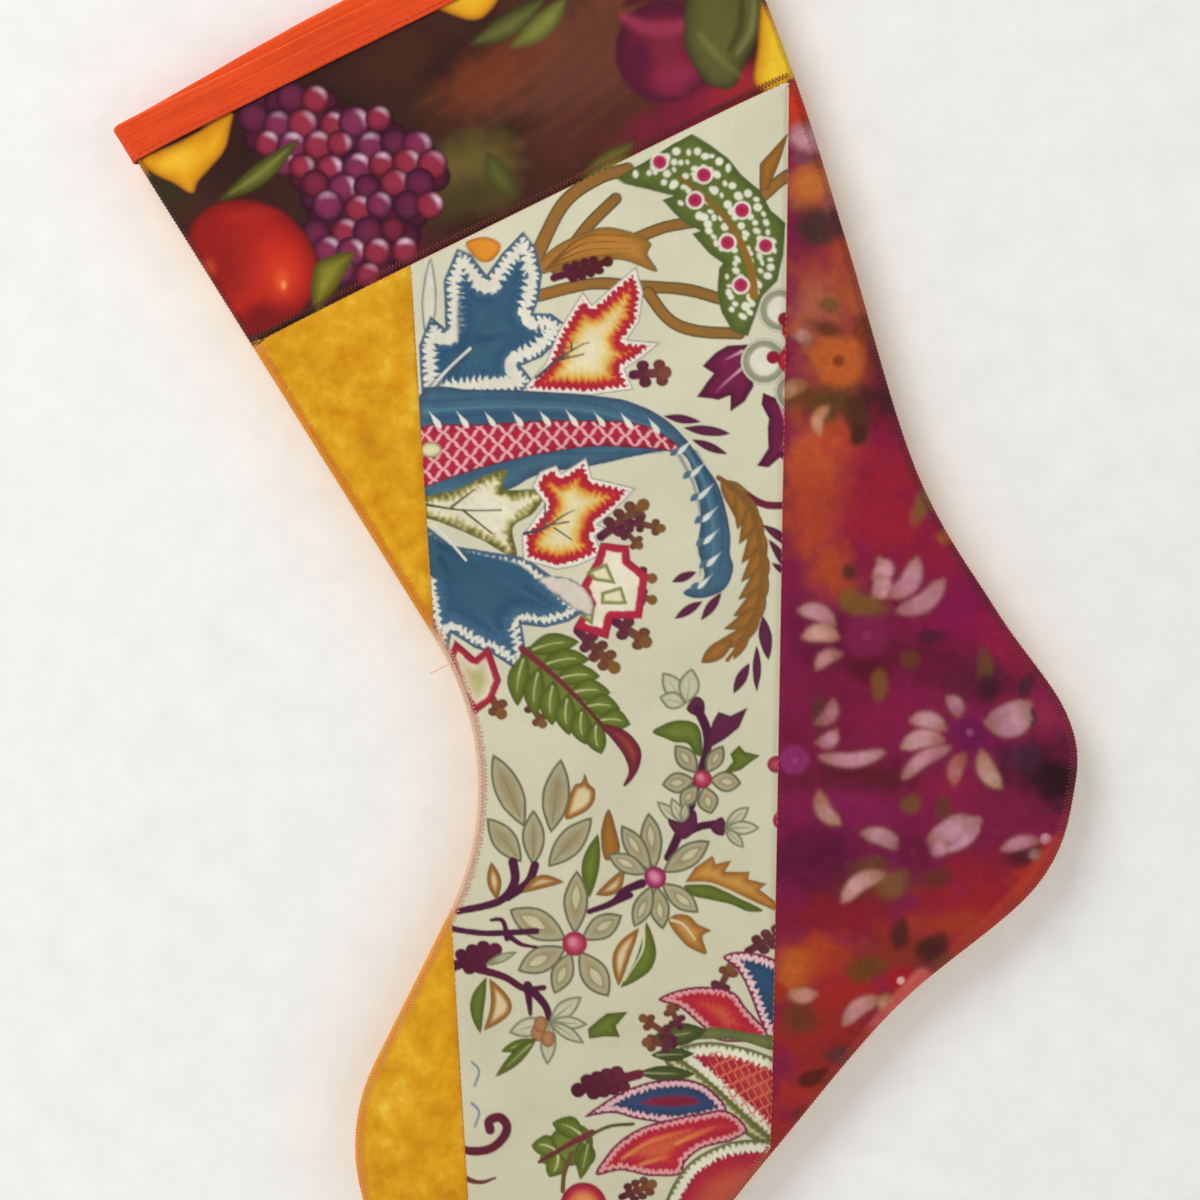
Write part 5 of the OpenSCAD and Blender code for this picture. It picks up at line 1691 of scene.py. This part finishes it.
class Cloth:
    """A woven fabric material, built on the piece's own cloth coordinates."""

    def __init__(self, name):
        self.mat = bpy.data.materials.new(name)
        self.mat.use_nodes = True
        self.tree = self.mat.node_tree
        self.tree.nodes.clear()
        self.out = self.add("ShaderNodeOutputMaterial")
        self.bsdf = self.add("ShaderNodeBsdfPrincipled")
        self.link(self.bsdf.outputs["BSDF"], self.out.inputs["Surface"])
        self.coords = self.add("ShaderNodeUVMap")
        self.coords.uv_map = "cloth"

    def add(self, kind):
        return self.tree.nodes.new(kind)

    def link(self, a, b):
        self.tree.links.new(a, b)

    def scaled(self, scale, source=None):
        m = self.add("ShaderNodeMapping")
        m.inputs["Scale"].default_value = scale
        self.link(source or self.coords.outputs["UV"], m.inputs["Vector"])
        return m.outputs["Vector"]

    def noise(self, vector, scale=1.0, detail=3.0, rough=0.55):
        n = self.add("ShaderNodeTexNoise")
        n.inputs["Scale"].default_value = scale
        n.inputs["Detail"].default_value = detail
        n.inputs["Roughness"].default_value = rough
        self.link(vector, n.inputs["Vector"])
        return n.outputs["Fac"]

    def math(self, op, a, b=None):
        m = self.add("ShaderNodeMath")
        m.operation = op
        for i, v in enumerate((a, b)):
            if v is None:
                continue
            if isinstance(v, (int, float)):
                m.inputs[i].default_value = v
            else:
                self.link(v, m.inputs[i])
        return m.outputs[0]

    def spread(self, value, lo, hi, a=0.3, b=0.7):
        """The value's middle range stretched to lo..hi."""
        m = self.add("ShaderNodeMapRange")
        for key, v in (("From Min", a), ("From Max", b), ("To Min", lo), ("To Max", hi)):
            m.inputs[key].default_value = v
        self.link(value, m.inputs["Value"])
        return m.outputs["Result"]

    def ramp(self, value, stops):
        r = self.add("ShaderNodeValToRGB")
        e = r.color_ramp.elements
        while len(e) < len(stops):
            e.new(0.5)
        for item, (pos, code) in zip(e, stops):
            item.position = pos
            item.color = (*hex_rgb(code), 1)
        self.link(value, r.inputs["Fac"])
        return r.outputs["Color"]

    def mix(self, factor, a, b, blend="MIX"):
        m = self.add("ShaderNodeMix")
        m.data_type = "RGBA"
        m.blend_type = blend
        for i, v in ((0, factor), (6, a), (7, b)):
            if isinstance(v, (int, float)):
                m.inputs[i].default_value = v
            elif isinstance(v, tuple):
                m.inputs[i].default_value = (*v, 1)
            else:
                self.link(v, m.inputs[i])
        return m.outputs[2]

    def paint(self, name="paint"):
        a = self.add("ShaderNodeAttribute")
        a.attribute_name = name
        return a.outputs["Color"]

    def weave(self, colour, thread=0.42, depth=0.035, strength=0.4, distance=0.0001,
              rough=(0.78, 0.92), sheen=0.08, wrinkle=0.0):
        """Warp and weft threads over a colour, with bump, wear and a soft sheen."""
        warp = self.noise(self.scaled((1.0 / thread, 0.3, 1)), 1.0, 2.0)
        weft = self.noise(self.scaled((0.3, 1.0 / thread, 1)), 1.0, 2.0)
        cross = self.math("MAXIMUM", warp, weft)
        fuzz = self.noise(self.scaled((1, 1, 1)), 2.6, 3.0, 0.7)
        worn = self.noise(self.scaled((1, 1, 1)), 0.035, 4.0)
        shade = self.math("MULTIPLY", self.spread(cross, 1 - depth, 1 + depth, 0.4, 0.75),
                          self.spread(worn, 0.94, 1.05))
        grey = self.add("ShaderNodeCombineColor")
        for i in range(3):
            self.link(shade, grey.inputs[i])
        if isinstance(colour, tuple):
            colour = self.mix(0.0, colour, colour)
        tinted = self.mix(1.0, colour, grey.outputs[0], "MULTIPLY")
        self.link(tinted, self.bsdf.inputs["Base Color"])
        height = self.math("ADD", self.math("MULTIPLY", cross, 0.7), self.math("MULTIPLY", fuzz, 0.3))
        bump = self.add("ShaderNodeBump")
        bump.inputs["Strength"].default_value = strength
        bump.inputs["Distance"].default_value = distance
        self.link(height, bump.inputs["Height"])
        last = bump.outputs["Normal"]
        if wrinkle:
            creases = self.noise(self.scaled((1, 1, 1)), 0.055, 4.0, 0.6)
            second = self.add("ShaderNodeBump")
            second.inputs["Strength"].default_value = 0.6
            second.inputs["Distance"].default_value = wrinkle
            self.link(creases, second.inputs["Height"])
            self.link(last, second.inputs["Normal"])
            last = second.outputs["Normal"]
        self.link(last, self.bsdf.inputs["Normal"])
        self.link(self.spread(fuzz, *rough), self.bsdf.inputs["Roughness"])
        self.bsdf.inputs["Sheen Weight"].default_value = sheen
        self.bsdf.inputs["Sheen Roughness"].default_value = 0.45
        self.bsdf.inputs["Specular IOR Level"].default_value = 0.15
        return self.mat


def mottled(name, stops, scale=0.11, wrinkle=0.0012):
    c = Cloth(name)
    spots = c.noise(c.scaled((1, 1, 1)), scale, 4.0, 0.62)
    clouds = c.noise(c.scaled((1, 1, 1)), scale * 0.22, 2.0)
    both = c.math("ADD", c.math("MULTIPLY", spots, 0.72), c.math("MULTIPLY", clouds, 0.28))
    return c.weave(c.ramp(c.spread(both, 0, 1, 0.32, 0.68), stops), wrinkle=wrinkle)


def printed(name, wrinkle=0.0012, **more):
    c = Cloth(name)
    return c.weave(c.paint(), wrinkle=wrinkle, **more)


def plain(name, code, **more):
    c = Cloth(name)
    blotch = c.noise(c.scaled((1, 1, 1)), 0.05, 4.0)
    low, high = hex_rgb(code) * 0.9, np.minimum(hex_rgb(code) * 1.07, 1)
    colour = c.mix(c.spread(blotch, 0, 1), tuple(low), tuple(high))
    return c.weave(colour, **more)


def streaky(name, wrinkle=0.0):
    """The binding and tape: a finely ribbed orange cotton, streaked along its length."""
    c = Cloth(name)
    streak = c.noise(c.scaled((0.02, 1.3, 1)), 1.0, 3.0, 0.6)
    shade = c.mix(c.spread(streak, 0, 1, 0.38, 0.62), tuple(hex_rgb("cc3a16")), tuple(hex_rgb("f25a22")))
    colour = c.mix(0.55, shade, c.paint())
    return c.weave(colour, thread=0.6, depth=0.05, wrinkle=wrinkle)


def spun(name, code=None):
    """Sewing thread, coloured by its paint or by one colour, with a satin twist."""
    c = Cloth(name)
    c.tree.nodes.remove(c.coords)
    where = c.add("ShaderNodeTexCoord")
    twist = c.noise(where.outputs["Object"], 2600.0, 2.0)
    tone = c.spread(twist, 0.82, 1.12)
    grey = c.add("ShaderNodeCombineColor")
    for i in range(3):
        c.link(tone, grey.inputs[i])
    base = c.paint() if code is None else c.mix(0.0, tuple(hex_rgb(code)), tuple(hex_rgb(code)))
    c.link(c.mix(1.0, base, grey.outputs[0], "MULTIPLY"), c.bsdf.inputs["Base Color"])
    bump = c.add("ShaderNodeBump")
    bump.inputs["Strength"].default_value = 0.5
    bump.inputs["Distance"].default_value = 0.00008
    c.link(twist, bump.inputs["Height"])
    c.link(bump.outputs["Normal"], c.bsdf.inputs["Normal"])
    c.link(c.spread(twist, 0.4, 0.6), c.bsdf.inputs["Roughness"])
    c.bsdf.inputs["Sheen Weight"].default_value = 0.06
    return c.mat


def wear(ob, mat):
    ob.data.materials.clear()
    ob.data.materials.append(mat)


golden = mottled("golden_mottled_cotton",
                 [(0.0, "c27c0c"), (0.35, "d29210"), (0.6, "da9e18"), (0.85, "e2ae2c"), (1.0, "eabc44")])
golden_back = mottled("golden_back_cotton", [(0.0, "cc860e"), (0.4, "d99c16"), (0.7, "e0aa24"),
                                             (1.0, "e8b83c")])
fruit = printed("fruit_printed_cotton")
floral = printed("floral_printed_cotton")
batik = printed("batik_dyed_cotton", rough=(0.72, 0.88))
lining_mat = plain("lining_cotton_cloth", "e4dac2", wrinkle=0.001)
batting_mat = plain("cotton_batting", "efe9dc", thread=1.4, depth=0.05, strength=0.8, distance=0.0004)
orange = streaky("orange_binding_cotton")
rim_mat = printed("turned_edge_cotton", wrinkle=0.0)
thread_mat = spun("sewing_thread")
apricot = spun("apricot_sewing_thread", "e2803c")
red_thread = spun("orange_red_sewing_thread", "dc4a1e")

for ob, mat in ((front["cuff"][0], fruit), (front["floral"][0], floral), (front["batik"][0], batik),
                (front["wedge"][0], golden), (front["toe"][0], golden), (back_cloth[0], golden_back),
                (linings[-1][0], lining_mat), (linings[1][0], lining_mat),
                (battings[-1][0], batting_mat), (battings[1][0], batting_mat),
                (mouth_binding, orange), (edge_rim_cloth, rim_mat),
                (edge_threads[0], thread_mat), (edge_threads[1], thread_mat),
                (edge_thread_end, thread_mat), (cuff_zigzag_thread, thread_mat),
                (seam_stitch_thread, apricot), (binding_stitch_thread, red_thread),
                (tack_stitch_thread, red_thread), (tape_top, orange),
                (tape_tails[0], orange), (tape_tails[1], orange)):
    wear(ob, mat)

# ---------------------------------------------------------------- what each piece rides on, and the frame's parts they replace, hidden

for ob in (front["cuff"][0], front["wedge"][0], front["toe"][0], front["floral"][0], front["batik"][0],
           back_cloth[0], linings[-1][0], linings[1][0], battings[-1][0], battings[1][0],
           mouth_binding, edge_rim_cloth, edge_threads[0], edge_threads[1], edge_thread_end,
           cuff_zigzag_thread, seam_stitch_thread, binding_stitch_thread, tack_stitch_thread):
    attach(ob, STOCKING)
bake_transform(tape_top)
for ob in tape_tails:
    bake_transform(ob)

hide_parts("loop_crown")
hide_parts("loop_legs", "loop_tails")
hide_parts("loop_tack_stitches")
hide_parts("top_binding")
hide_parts("binding_stitches")
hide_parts("front_cuff_band")
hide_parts("cuff_seam_stitches")
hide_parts("front_leg_wedge")
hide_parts("front_center_panel")
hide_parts("front_batik_panel")
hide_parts("front_toe_panel")
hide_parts("patchwork_seam_threads")
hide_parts("front_batting")
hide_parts("front_lining")
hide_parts("back_lining")
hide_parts("back_batting")
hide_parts("back_panel")
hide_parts("edge_overcast")


# ---------------------------------------------------------------- floor, wall, light and camera


def stage_plane(name, corners, code, bump_scale, bump_depth):
    ob = new_mesh(name, np.array(corners), [np.array([[0, 1, 2, 3]])], smooth=False)
    mat = bpy.data.materials.new(name)
    mat.use_nodes = True
    t = mat.node_tree
    bsdf, out = t.nodes["Principled BSDF"], t.nodes["Material Output"]
    bsdf.inputs["Roughness"].default_value = 0.9
    where = t.nodes.new("ShaderNodeTexCoord")
    n = t.nodes.new("ShaderNodeTexNoise")
    n.inputs["Scale"].default_value = bump_scale
    n.inputs["Detail"].default_value = 6
    t.links.new(where.outputs["Object"], n.inputs["Vector"])
    ramp = t.nodes.new("ShaderNodeValToRGB")
    low, high = hex_rgb(code) * 0.97, np.minimum(hex_rgb(code) * 1.02, 1)
    ramp.color_ramp.elements[0].position = 0.3
    ramp.color_ramp.elements[1].position = 0.7
    ramp.color_ramp.elements[0].color = (*low, 1)
    ramp.color_ramp.elements[1].color = (*high, 1)
    t.links.new(n.outputs["Fac"], ramp.inputs["Fac"])
    t.links.new(ramp.outputs["Color"], bsdf.inputs["Base Color"])
    bump = t.nodes.new("ShaderNodeBump")
    bump.inputs["Strength"].default_value = 0.5
    bump.inputs["Distance"].default_value = bump_depth
    t.links.new(n.outputs["Fac"], bump.inputs["Height"])
    t.links.new(bump.outputs["Normal"], bsdf.inputs["Normal"])
    back = t.nodes.new("ShaderNodeNewGeometry")
    clear = t.nodes.new("ShaderNodeBsdfTransparent")
    mix = t.nodes.new("ShaderNodeMixShader")
    t.links.new(back.outputs["Backfacing"], mix.inputs["Fac"])
    t.links.new(bsdf.outputs["BSDF"], mix.inputs[1])
    t.links.new(clear.outputs["BSDF"], mix.inputs[2])
    t.links.new(mix.outputs["Shader"], out.inputs["Surface"])
    ob.data.materials.append(mat)
    return ob


WALL_Y, FLOOR_Z = 0.016, -0.66
WALL = [(x, WALL_Y, z) for x, z in ((-4, FLOOR_Z), (4, FLOOR_Z), (4, 3), (-4, 3))]
wall_plane = stage_plane("studio_wall", WALL, "f0f0ee", 90.0, 0.0006)
wall_plane.visible_shadow = False
stage_plane("studio_floor", [(-4, -4, FLOOR_Z), (4, -4, FLOOR_Z), (4, 4, FLOOR_Z), (-4, 4, FLOOR_Z)],
            "ecece8", 60.0, 0.0002)


def area_light(name, place_at, look_at, size, watts, rgb):
    data = bpy.data.lights.new(name, "AREA")
    data.shape = "DISK"
    data.size = size
    data.energy = watts
    data.color = rgb
    ob = bpy.data.objects.new(name, data)
    ob.location = place_at
    ob.rotation_euler = (Vector(look_at) - Vector(place_at)).to_track_quat("-Z", "Y").to_euler()
    bpy.context.collection.objects.link(ob)


area_light("key_light", (-0.9, -1.2, 0.75), (0, 0, -0.26), 1.0, 18.5, (1.0, 0.975, 0.94))
area_light("fill_light", (1.3, -1.2, -0.3), (0, 0, -0.3), 1.4, 5.4, (0.93, 0.96, 1.0))
area_light("back_light", (-0.6, 1.3, 0.5), (0, 0, -0.3), 1.2, 16, (1.0, 0.98, 0.96))
world = bpy.data.worlds.new("studio")
bpy.context.scene.world = world
world.use_nodes = True
world.node_tree.nodes["Background"].inputs["Color"].default_value = (0.93, 0.95, 1.0, 1)
world.node_tree.nodes["Background"].inputs["Strength"].default_value = 0.4
bpy.context.scene.view_settings.view_transform = "Standard"

camera_data = bpy.data.cameras.new("camera")
camera_data.sensor_width = 36
camera_data.lens = 65
camera = bpy.data.objects.new("camera", camera_data)
SPAN = 0.408
camera.location = (-0.007, -SPAN * camera_data.lens / 36 - 0.0055, -0.2897)
camera.rotation_euler = (math.radians(90), 0, 0)
camera_data.clip_start = 0.02
camera_data.clip_end = 20
bpy.context.collection.objects.link(camera)
bpy.context.scene.camera = camera

bpy.context.view_layer.update()
